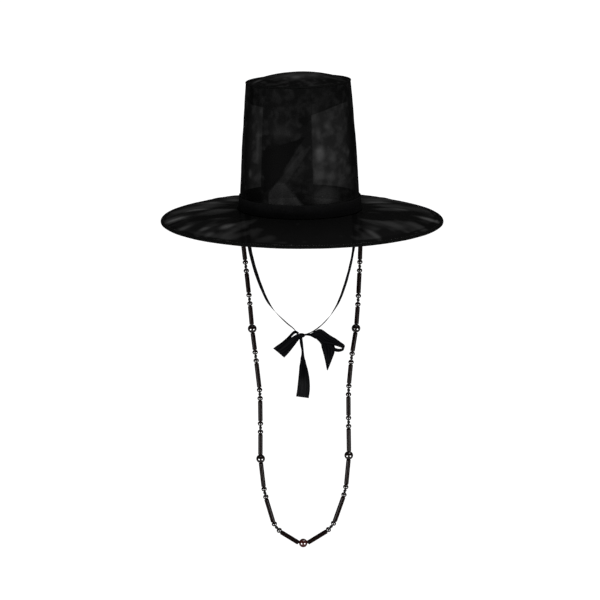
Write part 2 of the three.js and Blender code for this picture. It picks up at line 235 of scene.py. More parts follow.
def on_brim(degrees, radius, above=0.0):
    share = max((radius - CROWN["foot"]) / (BRIM["edge"] - CROWN["foot"]), 0)
    point = around(degrees, radius, above - BRIM["drop"] * share ** BRIM["power"])
    point.x += LEAN["foot"] + (BRIM["shift"] - LEAN["foot"]) * share
    return point


print("crown", round(2 * CROWN["foot"], 4), "m wide, brim", round(2 * BRIM["edge"], 4), "m wide")

# %% [markdown]
# Most pieces are strips: cloth wall, hem, ribbon, binding. Each is a grid of points with a map of
# where the cloth's own threads run, so one function turns rows of points into a mesh and writes that
# map in metres. A weave drawn on it then has its true size everywhere.

# %% Helpers for meshes
def new_piece(name, mesh, material, slot, *nodes):
    """Puts a finished mesh in the scene as a piece that stands for those nodes of the model."""
    piece = bpy.data.objects.new(name, mesh)
    scene.collection.objects.link(piece)
    if material:
        mesh.materials.clear()
        mesh.materials.append(material)
    mesh.shade_smooth()
    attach(piece, "root")
    if nodes:
        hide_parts(*nodes)
    return piece


def grid_mesh(name, rows, maps=None, closed=False):
    """A mesh through rows of equally many points. closed joins the last row to the first."""
    count = len(rows[0])
    points = [tuple(point) for row in rows for point in row]
    faces = []
    for r in range(len(rows) if closed else len(rows) - 1):
        here = r * count
        there = (r + 1) % len(rows) * count
        for c in range(count - 1):
            faces.append((here + c, there + c, there + c + 1, here + c + 1))
    mesh = bpy.data.meshes.new(name)
    mesh.from_pydata(points, [], faces)
    if maps is not None:
        flat = [tuple(place) for row in maps for place in row]
        layer = mesh.uv_layers.new(name="threads")
        for loop in mesh.loops:
            layer.data[loop.index].uv = flat[loop.vertex_index]
    return mesh


def sew(name, *meshes, fill=None, outwards=False):
    """One mesh of several, doubled points merged. fill says which open edges are to be closed."""
    form = bmesh.new()
    for mesh in meshes:
        form.from_mesh(mesh)
        bpy.data.meshes.remove(mesh)
    bmesh.ops.remove_doubles(form, verts=form.verts, dist=1e-6)
    if fill:
        edges = [edge for edge in form.edges if edge.is_boundary and fill(edge)]
        bmesh.ops.holes_fill(form, edges=edges, sides=0)
    if outwards:
        bmesh.ops.recalc_face_normals(form, faces=form.faces)
    sewn = bpy.data.meshes.new(name)
    form.to_mesh(sewn)
    form.free()
    return sewn


def ripple(place, size, seed=0.0):
    """Smooth noise between about -1 and 1, with bumps about size metres across."""
    return noise.noise(Vector(place) / size + Vector((seed, seed * 0.7, seed * 1.3)))


print("a ripple at the front of the crown:", round(ripple(on_crown(0, 0.1), 0.02), 3))

# %% [markdown]
# The cloth is a stiffened organza: a thin plain weave of black filament, glazed so that it stands by
# itself. Each layer lets about an eighth of the light through. It closes up when it is seen at a slant,
# as its threads then hide the gaps between them, and its glaze is uneven, which gives pale mottles
# where two layers lie behind each other. Layer Weight gives that slant, and noise gives the mottles.
# The real thread spacing, about 0.3 mm, is too fine to show, so it is drawn at 1.6 mm.

# %% Material of the sheer cloth
WEAVE_PITCH = 1.6 * MM
WAVE_PERIOD = 0.314  # a wave texture of scale 1 repeats after this far
MOTTLE_SIZE = 13 * MM
STREAK_TURN = 0.055  # radius, in metres of noise, of the circle that the directions read
STREAK_REACH = 0.22  # share of a streak's length that the noise sees
CLOSED = 0.002  # share of light let through at the full slant
# The palest cloth is where the glaze is worn off and where highlights and sheen are painted; it lets the most
# light through.
OPENNESS_AT_DARKEST = 0.55  # how much of the openness is left under full glaze
OPENNESS_AT_PALEST = 2.3  # and how much there is where the glaze is worn off


def weave(tree, threads, pitch):
    """Two crossed sets of threads as one height between 0 and 1."""
    sets = {"Vector": threads, "Scale": WAVE_PERIOD / pitch}
    warp = add(tree, "ShaderNodeTexWave", sets, bands_direction="X").outputs["Fac"]
    weft = add(tree, "ShaderNodeTexWave", sets, bands_direction="Y").outputs["Fac"]
    both = add(tree, "ShaderNodeMath", {0: warp, 1: weft}, operation="ADD")
    return add(tree, "ShaderNodeMath", {0: both, 1: 0.5}, operation="MULTIPLY")


def sheer_material(name, dark, light, openness, slant, mottled, squash=1.0, painted_sheen_streaks=False):
    """openness is the share of light let through, seen straight, and it is lost between two slants.
    squash makes the mottles that much lower than they are wide."""
    material, tree = new_material(name)
    place = add(tree, "ShaderNodeTexCoord").outputs
    spot = add(tree, "ShaderNodeVectorMath", {0: place["Object"], 1: (1, 1, squash)}, operation="MULTIPLY")
    if painted_sheen_streaks:
        # noise read by direction from the middle, and slowly by distance, runs in radial streaks of painted
        # sheen
        flat = add(tree, "ShaderNodeVectorMath", {0: spot, 1: (1, 1, 0)}, operation="MULTIPLY")
        way = add(tree, "ShaderNodeVectorMath", {0: flat}, operation="NORMALIZE")
        turn = add(tree, "ShaderNodeVectorMath", {0: way, 1: (STREAK_TURN, STREAK_TURN, 0)},
                   operation="MULTIPLY")
        away = add(tree, "ShaderNodeVectorMath", {0: flat}, operation="LENGTH").outputs["Value"]
        out = add(tree, "ShaderNodeMath", {0: away, 1: STREAK_REACH}, operation="MULTIPLY")
        rise = add(tree, "ShaderNodeCombineXYZ", {"Z": out})
        spot = add(tree, "ShaderNodeVectorMath", {0: turn, 1: rise}, operation="ADD")
    mottle = add(tree, "ShaderNodeTexNoise", {"Vector": spot, "Scale": 1 / MOTTLE_SIZE, "Detail": 2.0,
                                              "Roughness": 0.5, "Distortion": 0.2})
    patch = add(tree, "ShaderNodeMapRange",
                {"Value": mottle.outputs["Fac"], "From Min": 0.4, "From Max": 0.72, "To Max": mottled},
                interpolation_type="SMOOTHSTEP")
    # the attribute holds the glaze with the marks' painted highlights, sheen and shade, and adds to the
    # mottles
    glaze_and_painted_light = add(tree, "ShaderNodeAttribute", attribute_name="glaze_and_painted_light").outputs["Fac"]
    pale = add(tree, "ShaderNodeMath", {0: patch, 1: glaze_and_painted_light}, operation="ADD", use_clamp=True)
    facing = add(tree, "ShaderNodeLayerWeight", {"Blend": 0.5}).outputs["Facing"]
    left = add(tree, "ShaderNodeMapRange", {"Value": facing, "From Min": slant[0], "From Max": slant[1],
                                            "To Min": openness, "To Max": CLOSED},
               interpolation_type="SMOOTHSTEP")
    openness_by_paleness = add(tree, "ShaderNodeMapRange", {"Value": pale, "To Min": OPENNESS_AT_DARKEST, "To Max": OPENNESS_AT_PALEST})
    through = add(tree, "ShaderNodeMath", {0: left, 1: openness_by_paleness}, operation="MULTIPLY")
    solid = add(tree, "ShaderNodeMath", {0: 1.0, 1: through}, operation="SUBTRACT", use_clamp=True)
    return finish_material(material, pale, dark, light,
                           {"Alpha": solid, "Roughness": 0.6, "Specular IOR Level": 0.02},
                           bump=(weave(tree, place["UV"], WEAVE_PITCH), 0.25, 0.15 * MM))


# The light tones are reached by the mottles and by the painted highlights of the marks.
WALL_CLOTH = sheer_material("stiffened black organza", "#050505", "#303030", 0.12, (0.3, 0.8), 0.18)
TOP_CLOTH = sheer_material("stiffened black organza of the top", "#050505", "#4c4c4c",
                           0.12, (0.3, 0.8), 0.2, squash=2.4)
# The brim's streaks and marks paint sheen towards its light tone and shade towards its dark one.
BRIM_CLOTH = sheer_material("stiffened black organza of the brim", "#040404", "#4c4c4c",
                            0.1, (0.2, 0.42), 0.32, painted_sheen_streaks=True)
print("materials:", [cloth.name for cloth in (WALL_CLOTH, TOP_CLOTH, BRIM_CLOTH)])

# %% [markdown]
# Beside the glaze's uneven noise, the cloth carries marks of painted light and shade: a painted highlight
# right of the lap, painted sheen in streaks where the brim was creased, and painted shade beside them. Noise
# alone puts such marks anywhere.
# A short table puts each where it is on the real hat, and its strength is kept on the mesh as an attribute
# that the material adds to its noise.

# %% Marks of painted light and shade on the cloth
# Each row is degrees from the front, then in mm the place along the cloth (height on the wall, distance
# from the middle on the top and brim) and the half size across and along, and how much paler it is.
# painted highlights and painted shade on the wall
WALL_PAINTED_LIGHT_AND_SHADE = [
    (21, 97, 8, 10, 0.85), (34, 90, 8, 9, 0.3), (20, 66, 8, 7, 0.3), (33, 62, 9, 7, 0.2),
    (20, 126, 4, 9, 0.3), (30, 138, 6, 6, 0.25), (56, 68, 9, 6, 0.25), (58, 94, 4, 5, 0.3),
    (25, 31, 19, 13, 0.5), (66, 110, 12, 40, -0.4), (-45, 108, 4, 24, 0.25), (-62, 110, 10, 60, -0.4),
    (-47, 72, 9, 6, -0.5), (-57, 62, 5, 7, 0.35), (-50, 34, 14, 14, -0.3), (-17, 130, 18, 10, 0.2),
    (-26, 80, 15, 22, -0.4), (4, 146, 8, 6, -0.2),
]
# painted highlights on the top
TOP_PAINTED_HIGHLIGHTS = [
    (-5, 35, 8, 9, 0.5), (-37, 30, 12, 12, 0.1), (40, 28, 14, 12, 0.1), (66, 52, 7, 9, 0.15),
    (-73, 64, 6, 6, 0.5),
]
# painted sheen on the brim's creases, and painted shade between them
BRIM_PAINTED_SHEEN_AND_SHADE = [
    (-90, 158, 7, 17, 0.75), (-78, 192, 5, 14, 0.85), (-82, 106, 4, 13, 0.3), (-41, 163, 8, 12, 0.65),
    (-49, 186, 6, 8, 0.5), (-60, 198, 7, 12, 0.4), (-113, 146, 8, 8, 0.4), (-124, 122, 8, 14, 0.4),
    (-42, 197, 6, 7, 0.35), (-72, 199, 4, 12, -0.8), (-66, 145, 9, 24, -0.5), (-60, 116, 12, 14, -0.6),
    (113, 128, 9, 22, 0.55), (90, 152, 7, 12, 0.3), (79, 199, 7, 15, 0.55), (34, 191, 5, 18, 0.45),
    (51, 205, 5, 9, 0.2), (58, 128, 20, 26, -0.6), (68, 205, 4, 10, -0.5), (5, 182, 14, 7, 0.12),
    (75, 150, 40, 50, -0.14),
]
# Areas of the wall with straight edges, where the lap's cloth is folded, and the lap's lower corner, painted
# paler as light
# showing through it: how much paler each is, and its corners as degrees from the front and height, clockwise
# from the upper left.
WALL_AREAS = {
    "large tuck": (-0.16, [(-37.8, 99.6), (5.2, 121.3), (-25.2, 48.7), (-35.7, 38.3)]),
    "pale fold": (0.14, [(3.0, 103.0), (12.0, 108.4), (-13.0, 52.6), (-22.0, 53.5)]),
    # painted light showing through the lap's lower corner
    "painted light through the lap": (0.34, [(-22.0, 53.5), (-14.0, 52.6), (4.9, 18.5), (-30.4, 16.4), (-30.5, 37.5)]),
}
AREA_SOFTNESS = 2.4 * MM


def painted_marks_at(degrees, along, radius, table):
    """The sum of a table's marks of painted light and shade at a place. radius turns degrees into a length
    across.
    """
    total = 0.0
    for middle, spot, half_across, half_along, amount in table:
        turn = (degrees - middle + 180) % 360 - 180
        across = math.radians(turn) * radius / (half_across * MM)
        off = (along / MM - spot) / half_along
        if abs(across) < 3 and abs(off) < 3:
            total += amount * math.exp(-(across * across + off * off) ** 1.4)
    return total


def smooth_step(value, low, high):
    share = min(max((value - low) / (high - low), 0), 1)
    return share * share * (3 - 2 * share)


def area_share(degrees, height, corners):
    """1 inside the clockwise corners, 0 outside, and soft at the edges."""
    spots = [Vector((math.radians(a) * CROWN["foot"], h * MM)) for a, h in corners]
    here = Vector((math.radians(degrees) * CROWN["foot"], height))
    inside = 1.0
    for a, b in zip(spots, spots[1:] + spots[:1]):
        side = (b - a).normalized()
        way = here - a
        inside = min(inside, way.x * side.y - way.y * side.x)
    return smooth_step(inside, -AREA_SOFTNESS / 2, AREA_SOFTNESS / 2)


def crown_spot(point):
    """Degrees from the front and height of a point of the leaning crown."""
    share = point.z / CROWN["height"]
    x = point.x - LEAN["foot"] - (LEAN["top"] - LEAN["foot"]) * share
    return math.degrees(math.atan2(x, -point.y)), point.z


def keep_glaze_and_painted_light(mesh, rule):
    """Writes how pale the cloth is at each of its points, painted light and shade included, as rule gives it.
    """
    layer = mesh.attributes.new("glaze_and_painted_light", "FLOAT", "POINT")
    layer.data.foreach_set("value", [rule(vertex.co) for vertex in mesh.vertices])


print("marks:", [len(table) for table in (WALL_PAINTED_LIGHT_AND_SHADE, TOP_PAINTED_HIGHLIGHTS, BRIM_PAINTED_SHEEN_AND_SHADE)], "on wall, top and brim")

# %% [markdown]
# The crown's wall is one strip of organza wrapped round the form. It starts at the front left, goes
# once round the head and covers its own start, so the front left shows two layers and the right only
# one. The lap's loose end is a straight edge a little right of the middle. Its foot is turned up
# inside and under again, and two corners of spare cloth are tucked between the layers of the lap,
# the larger of which shows as the darkest patch of the crown.

# %% Crown wall
WALL_FOOT = 0.3 * MM
WALL_TOP = CROWN["height"] - 1.6 * MM
WALL_ROWS = 86
COLUMN = 1.1  # degrees between the wall's columns of points
LAP_RISE = 0.8 * MM
LAP_CLIMB = (14, 1)  # degrees before the inner end where the climb starts and ends
FOOT_HEM = {"front": 34 * MM, "back": 19 * MM, "from": 55, "to": 90, "rows": 10}
HEM_WAVE = 0.9 * MM  # how far from level a hem's cut edge is
HEM_IN = 0.5 * MM  # how far inside the wall the turned-up cloth lies
HEM_UNDER = 0.35 * MM  # how much further in it comes down again
HEM_END = 3 * MM  # height where it ends
LAP_DEEPER = 2 * MM  # how much higher the hem is inside the lap
FOLD = 2 * MM  # height over which a fold turns
DENT = {"depth": 0.45 * MM, "wide": 35 * MM, "narrow": 14 * MM}


def wall_point(degrees, height, proud=0.0):
    """A point of the wall, pushed in and out a little as stiff cloth that has been crushed and let go."""
    base = on_crown(degrees, height)
    # the band and the rim's wire keep the cloth round
    free = max(min(1, (height - WALL_FOOT) / (30 * MM), (WALL_TOP - height) / (20 * MM)), 0)
    dent = DENT["depth"] * (ripple(base, DENT["wide"], 3) + 0.5 * ripple(base, DENT["narrow"], 5))
    return on_crown(degrees, height, proud + free * dent)


def strip_mesh(name, start, end, span, proud, count):
    """A strip of wall cloth. span gives its lowest and highest point at an angle, and proud how far it
    stands off the wall."""
    rows = []
    maps = []
    for degrees in np.linspace(start, end, int((end - start) / COLUMN) + 1):
        heights = np.linspace(*span(degrees), count)
        rows.append([wall_point(degrees, z, proud(degrees, z)) for z in heights])
        maps.append([(math.radians(degrees) * CROWN["foot"], z) for z in heights])
    return grid_mesh(name, rows, maps)


def wall_proud(degrees, height):
    """The outer end climbs over the inner one and lies a little proud of it."""
    start, end = (360 + LAP_FROM - before for before in LAP_CLIMB)
    return LAP_RISE * smooth_step(degrees, start, end)


def hem_edge(degrees):
    """Height of the hem at the foot: deep in front, and no higher than the band behind."""
    turned = abs((degrees + 180) % 360 - 180)
    behind = smooth_step(turned, FOOT_HEM["from"], FOOT_HEM["to"])
    height = FOOT_HEM["back"] + (FOOT_HEM["front"] - FOOT_HEM["back"]) * (1 - behind)
    return height + HEM_WAVE * ripple((degrees / 9, 0, 0), 1, 7)


def upward_proud(degrees, height):
    return -HEM_IN * min(1, (height - WALL_FOOT) / FOLD)


def downward_proud(degrees, height):
    return -HEM_IN - HEM_UNDER * min(1, (hem_edge(degrees) - height) / FOLD)


# The wall, then the hem going up, the hem coming down again, and the hem inside the lap.
wall_strips = [
    strip_mesh("wall", LAP_FROM, 360 + LAP_TO, lambda a: (WALL_FOOT, WALL_TOP), wall_proud, WALL_ROWS),
    strip_mesh("hem_up", LAP_TO, 360 + LAP_FROM, lambda a: (WALL_FOOT, hem_edge(a)), upward_proud,
               FOOT_HEM["rows"]),
    strip_mesh("hem_down", LAP_TO, 360 + LAP_FROM, lambda a: (hem_edge(a), HEM_END), downward_proud,
               FOOT_HEM["rows"]),
    strip_mesh("hem_lap", LAP_FROM, LAP_TO, lambda a: (WALL_FOOT, hem_edge(a) + LAP_DEEPER), upward_proud,
               FOOT_HEM["rows"]),
]
print("wall and hem:", sum(len(strip.polygons) for strip in wall_strips), "faces")

# %% [markdown]
# The tucked corners are four-sided patches of spare cloth, one large and one small. Walking over each
# in equal shares of its corners gives an even grid, and each point is then put on the wall by the same
# rule as the rest, a little further in for each layer.

# %% Tucked corners of the lap
# Their corners run upper left, upper right, lower right, lower left, and each patch lies so far inside
# the wall. The large corner is folded, so it is there twice.
LARGE_TUCK = WALL_AREAS["large tuck"][1]
SMALL_TUCK = [(-11.0, 49.7), (11.9, 64.2), (11.9, 18.3), (5.8, 18.5)]
TUCKS = [(LARGE_TUCK, 0.45 * MM), (LARGE_TUCK, 0.7 * MM), (SMALL_TUCK, 0.6 * MM)]
TUCK_STEPS = 24
WALL_GLAZE = 0.04


def tuck_mesh(corners, depth):
    upper_left, upper_right, lower_right, lower_left = (Vector((a, h * MM, 0)) for a, h in corners)
    rows = []
    maps = []
    for i in range(TUCK_STEPS + 1):
        left = upper_left.lerp(lower_left, i / TUCK_STEPS)
        right = upper_right.lerp(lower_right, i / TUCK_STEPS)
        row = [left.lerp(right, j / TUCK_STEPS) for j in range(TUCK_STEPS + 1)]
        rows.append([wall_point(spot.x, spot.y, -depth) for spot in row])
        maps.append([(math.radians(spot.x) * CROWN["foot"], spot.y) for spot in row])
    return grid_mesh("tuck", rows, maps)


# Paleness of the wall: its glaze, the folded areas, and the painted light and shade of its marks.
def wall_glaze_and_painted_light(point):
    degrees, height = crown_spot(point)
    glaze_and_painted_light = WALL_GLAZE + painted_marks_at(degrees, height, CROWN["foot"], WALL_PAINTED_LIGHT_AND_SHADE)
    if abs(degrees) < 45:  # the folded areas are all in front
        glaze_and_painted_light += sum(amount * area_share(degrees, height, corners) for amount, corners in WALL_AREAS.values())
    return glaze_and_painted_light


wall_mesh = sew("crown_wall", *wall_strips, *(tuck_mesh(*tuck) for tuck in TUCKS))
keep_glaze_and_painted_light(wall_mesh, wall_glaze_and_painted_light)
crown_wall = new_piece("crown_wall", wall_mesh, WALL_CLOTH, "sheer_cloth", "crown_side")
print("crown wall:", len(wall_mesh.polygons), "faces")

# %% [markdown]
# The top is a disc of the same cloth, slightly domed, whose rim is turned down inside the wall as a
# hem. The hem's cut edge isn't level: it dips to about 42 mm near the middle of the front. A turned
# surface would do for the dome, but the uneven hem needs its own depth at each angle, so the piece is
# a grid of rings whose last rows follow that depth.

# %% Crown top
TOP_EDGE = CROWN["top"] - 1.6 * MM  # where the dome turns down inside the wall
TOP_LEVEL = CROWN["height"] - 0.6 * MM
TOP_HOLE = 0.012  # share of its radius where the dome's first ring of points is
TOP_HEM = {"sides": 27.5 * MM, "dip": 14.5 * MM, "dip at": 2, "dip width": 33}
HEM_INSET = 1.3 * MM  # how far inside the wall the hem lies
HEM_TAPER = 0.5 * MM  # and how much further in its cut edge
TOP_DENT = 0.5 * MM
TOP_TURN = 4 * MM  # below this far under the top the cloth is hem
HEM_GLAZE = -0.05
TOP_HEM_WAVE = 0.45 * MM


def hem_depth(degrees):
    turned = (degrees + 180) % 360 - 180
    dip = TOP_HEM["dip"] * math.exp(-((turned - TOP_HEM["dip at"]) / TOP_HEM["dip width"]) ** 2)
    return TOP_HEM["sides"] + dip + HEM_WAVE * ripple((turned / 14, 0, 0), 1, 8)


def crown_top_mesh():
    rows = []
    maps = []
    for degrees in np.linspace(0, 360, 241):
        way = around(degrees, 1, 0)
        row = []
        reaches = []
        for share in np.linspace(TOP_HOLE, 1, 26):
            reaches.append(TOP_EDGE * share)
            uneven = TOP_DENT * ripple(way * reaches[-1], 30 * MM, 2) * (1 - share ** 6)
            height = TOP_LEVEL + DOME_RISE * (1 - share * share) + uneven
            row.append(lean(around(degrees, reaches[-1], height)))
        for down in np.linspace(0.06, 1, 14):
            depth = hem_depth(degrees) * down
            reaches.append(TOP_EDGE + depth)
            spot = (way.x * 90 * MM, way.y * 90 * MM, down * 20 * MM)
            wave = TOP_HEM_WAVE * down * ripple(spot, 12 * MM, 4)
            row.append(on_crown(degrees, TOP_LEVEL - depth, wave - HEM_INSET - HEM_TAPER * down))
        rows.append(row)
        maps.append([(way.x * reach, way.y * reach) for reach in reaches])
    # the only open edges near the axis are those of the small hole at the dome's middle
    return sew("crown_top", grid_mesh("top", rows, maps),
               fill=lambda edge: max(corner.co.xy.length for corner in edge.verts) < 10 * MM)


def top_glaze_and_painted_light(point):
    """The dome is paler in its middle and has painted shade on its far side behind, and the hem is a little
    darker.
    """
    degrees, height = crown_spot(point)
    radius = math.hypot(point.x - LEAN["top"], point.y)
    if height < CROWN["height"] - TOP_TURN:
        return HEM_GLAZE
    middle = 0.15 * (1 - smooth_step(radius, 30 * MM, 60 * MM))
    # painted shade on the dome's far side
    behind = -0.4 * smooth_step(point.y, -10 * MM, 30 * MM)
    return middle + behind + painted_marks_at(degrees, radius, radius, TOP_PAINTED_HIGHLIGHTS)


top_mesh = crown_top_mesh()
keep_glaze_and_painted_light(top_mesh, top_glaze_and_painted_light)
crown_top = new_piece("crown_top_cloth", top_mesh, TOP_CLOTH, "sheer_cloth", "crown_top")
print("crown top:", len(top_mesh.polygons), "faces")

# %% [markdown]
# Wires stiffen the crown's top edge and the brim's edge, each wrapped in a strip of bias-cut cloth.
# The strip is thicker on the outside and narrows to its stitched edge on the inside. A tube swept
# round a ring makes both, its section given by the wire's thickness and the strip's reach.

# %% Material of the bindings
def binding_material():
    """Cotton bias tape: matt, closely woven, with its threads running slantwise. They are 0.25 mm apart,
    drawn at 1.1 mm to show."""
    material, tree = new_material("black cotton bias tape")
    place = add(tree, "ShaderNodeTexCoord").outputs
    slant = add(tree, "ShaderNodeMapping", {"Vector": place["UV"], "Rotation": (0, 0, math.radians(45))})
    fuzz = add(tree, "ShaderNodeTexNoise", {"Vector": place["Object"], "Scale": 220.0, "Detail": 2.0})
    return finish_material(material, fuzz.outputs["Fac"], "#050505", "#0c0c0c",
                           {"Roughness": 0.75, "Specular IOR Level": 0.03},
                           bump=(weave(tree, slant, 1.1 * MM), 0.35, 0.2 * MM))


BINDING = binding_material()
print("material:", BINDING.name)

# %% Bindings of the crown's top and the brim's edge
RIM_WIRE = 1.35 * MM  # half thickness of the bound wire at the crown's top
RIM_IN = 0.6 * MM  # how far that wire's middle lies inside the wall's outside
RIM_REACH = 2.0 * MM  # how far in from the wire each binding's stitched edge is
EDGE_REACH = 3.6 * MM
EDGE_LOWER = 0.6 * MM  # how far the brim's wire lies below its cloth
EDGE_WAVE = 0.25 * MM
MAP_RADIUS = 0.15  # one radius for both rings' maps, between their own


def ring_mesh(name, count, section, place):
    """Sweeps a section of (out, up) points round a ring. place puts a point at an angle."""
    rows = []
    maps = []
    girth = np.cumsum([0.0, *(math.dist(a, b) for a, b in zip(section, section[1:]))])
    for degrees in np.linspace(0, 360, count + 1)[:-1]:
        rows.append([place(degrees, out, up) for out, up in section])
        maps.append([(math.radians(degrees) * MAP_RADIUS, g) for g in girth])
    return sew(name, grid_mesh(name, rows, maps, closed=True), outwards=True)


def wrapped_section(radius, inner_reach, sides=14):
    """A round outside that narrows towards a flat stitched edge inside."""
    points = []
    for angle in np.linspace(0, 2 * math.pi, sides + 1):
        out = math.cos(angle)
        up = math.sin(angle)
        if out < 0:
            up *= 1 - 0.55 * out * out
            out *= inner_reach / radius
        points.append((out * radius, up * radius))
    return points


def rim_place(degrees, out, up):
    return lean(around(degrees, CROWN["top"] - RIM_IN + out, CROWN["height"] + up))


def edge_place(degrees, out, up):
    turn = math.radians(degrees)
    wave = EDGE_WAVE * ripple((math.cos(turn), math.sin(turn), 0), 0.16, 9)
    return on_brim(degrees, BRIM["edge"] - WIRE + out, up - EDGE_LOWER + wave)


rim_mesh = ring_mesh("rim", 180, wrapped_section(RIM_WIRE, RIM_REACH), rim_place)
edge_mesh = ring_mesh("edge", 360, wrapped_section(WIRE, EDGE_REACH), edge_place)
new_piece("crown_rim_binding", rim_mesh, BINDING, "binding", "crown_rim")
new_piece("brim_binding", edge_mesh, BINDING, "binding", "brim_edge")
print("bindings:", len(rim_mesh.polygons) + len(edge_mesh.polygons), "faces")

# %% [markdown]
# The brim follows a rule, so Geometry Nodes make it: a flat grid is bent round into a ring, each
# point's height falls with its distance from the crown, and noise read mostly by direction adds the
# soft radial creases of a brim that has been packed flat. The inputs are named, so another hat of the
# family is a change of numbers.

# %% Geometry Nodes tree of the brim
CREASES = {"Scale": 5.2, "Detail": 3.0, "Roughness": 0.62, "Distortion": 0.35}
CREASE_DRIFT = 0.28  # how far the noise is crossed on the way out, beside a circle of radius 1
CREASE_FREE = 6.4  # the higher, the nearer to foot and edge the creases are at full depth
# The rule, step by step. Each row is a name, what is done, and to what: a number, an input of the tree,
# X or Y of a point of the flat grid, the creases' noise, or the name of a row above.
BRIM_RULE = [
    ("angle", "MULTIPLY", "X", 2 * math.pi),
    ("along", "ADD", "Y", 0.5),
    ("width", "SUBTRACT", "Edge radius", "Hole radius"),
    ("radius", "MULTIPLY_ADD", "along", "width", "Hole radius"),
    ("reach", "SUBTRACT", "Edge radius", "Foot radius"),
    ("beyond", "SUBTRACT", "radius", "Foot radius"),
    ("part", "DIVIDE", "beyond", "reach"),
    ("share", "MAXIMUM", "part", 0.0),
    ("bend", "POWER", "share", "Power"),
    ("fall", "MULTIPLY", "bend", "Drop"),
    ("sine", "SINE", "angle"),
    ("cosine", "COSINE", "angle"),
    ("drift", "MULTIPLY", "share", CREASE_DRIFT),
    ("lift", "SUBTRACT", "creases", 0.5),
    ("rest", "SUBTRACT", 1.0, "share"),
    ("free", "MULTIPLY", "share", "rest"),
    ("freer", "MULTIPLY", "free", CREASE_FREE),
    ("loose", "MINIMUM", "freer", 1.0),
    ("wave", "MULTIPLY", "lift", "loose"),
    ("crease", "MULTIPLY", "wave", "Crease depth"),
    ("lean", "SUBTRACT", "Edge shift", "Foot shift"),
    ("shift", "MULTIPLY_ADD", "share", "lean", "Foot shift"),
    ("x", "MULTIPLY_ADD", "sine", "radius", "shift"),
    ("back", "MULTIPLY", "cosine", "radius"),
    ("y", "MULTIPLY", "back", -1.0),
    ("z", "SUBTRACT", "crease", "fall"),
]


def new_tree(name, **inputs):
    """A geometry node tree with named inputs of each kind. Returns it, its inputs and its last node."""
    tree = bpy.data.node_groups.new(name, "GeometryNodeTree")
    for kind, labels in {"Geometry": ["Geometry"], **inputs}.items():
        for label in labels:
            tree.interface.new_socket(label, in_out="INPUT", socket_type="NodeSocket" + kind)
    tree.interface.new_socket("Geometry", in_out="OUTPUT", socket_type="NodeSocketGeometry")
    return tree, add(tree, "NodeGroupInput").outputs, add(tree, "NodeGroupOutput")


def brim_tree():
    tree, given, result = new_tree(
        "brim by rule",
        Float=["Hole radius", "Foot radius", "Edge radius", "Drop", "Power", "Foot shift", "Edge shift",
               "Crease depth", "Seed"],
        Material=["Material"])
    grid = add(tree, "GeometryNodeMeshGrid",
               {"Size X": 1.0, "Size Y": 1.0, "Vertices X": 361, "Vertices Y": 44})
    spot = add(tree, "ShaderNodeSeparateXYZ", {0: add(tree, "GeometryNodeInputPosition")})
    creases = add(tree, "ShaderNodeTexNoise", {"W": given["Seed"], **CREASES}, noise_dimensions="4D")
    known = {socket.name: socket for socket in (*given, *spot.outputs)}
    known["creases"] = creases.outputs["Fac"]
    for name, operation, *values in BRIM_RULE:
        inputs = {i: known.get(value, value) for i, value in enumerate(values)}
        known[name] = add(tree, "ShaderNodeMath", inputs, operation=operation)
    way = {"X": known["sine"], "Y": known["cosine"], "Z": known["drift"]}
    feed(tree, creases, {"Vector": add(tree, "ShaderNodeCombineXYZ", way)})
    threads = add(tree, "ShaderNodeCombineXYZ", {"X": known["x"], "Y": known["y"]})
    place = add(tree, "ShaderNodeCombineXYZ", {"X": known["x"], "Y": known["y"], "Z": known["z"]})
    bent = add(tree, "GeometryNodeSetPosition", {"Geometry": grid, "Position": place})
    closed = add(tree, "GeometryNodeMergeByDistance", {"Geometry": bent, "Distance": 1e-6})
    mapped = add(tree, "GeometryNodeStoreNamedAttribute",
                 {"Geometry": closed, "Name": "threads", "Value": threads},
                 data_type="FLOAT2", domain="CORNER")
    whole = add(tree, "GeometryNodeRealizeInstances", {0: mapped})
    dressed = add(tree, "GeometryNodeSetMaterial", {"Geometry": whole, "Material": given["Material"]})
    feed(tree, result, {0: dressed})
    return tree


BRIM_TREE = brim_tree()
print("brim tree:", len(BRIM_TREE.nodes), "nodes")

# %% Run a tree and keep a plain mesh
CLOTH_DROP = 0.92  # share of the brim's fall where its cloth ends in the binding
CREASE_DEPTH = 5.5 * MM
CREASE_SEED = 4.0


def grow(name, tree, values, start=None):
    """Runs a node tree on an object and returns what it makes as a plain mesh."""
    maker = bpy.data.objects.new(name, start or bpy.data.meshes.new(name))
    scene.collection.objects.link(maker)
    modifier = maker.modifiers.new("nodes", "NODES")
    modifier.node_group = tree
    sockets = {item.name: item.identifier for item in tree.interface.items_tree if item.in_out == "INPUT"}
    for label, value in values.items():
        modifier[sockets[label]] = value
    maker.update_tag()
    bpy.context.view_layer.update()
    shown = maker.evaluated_get(bpy.context.evaluated_depsgraph_get())
    mesh = bpy.data.meshes.new_from_object(shown)
    mesh.name = name
    bpy.data.objects.remove(maker)
    return mesh


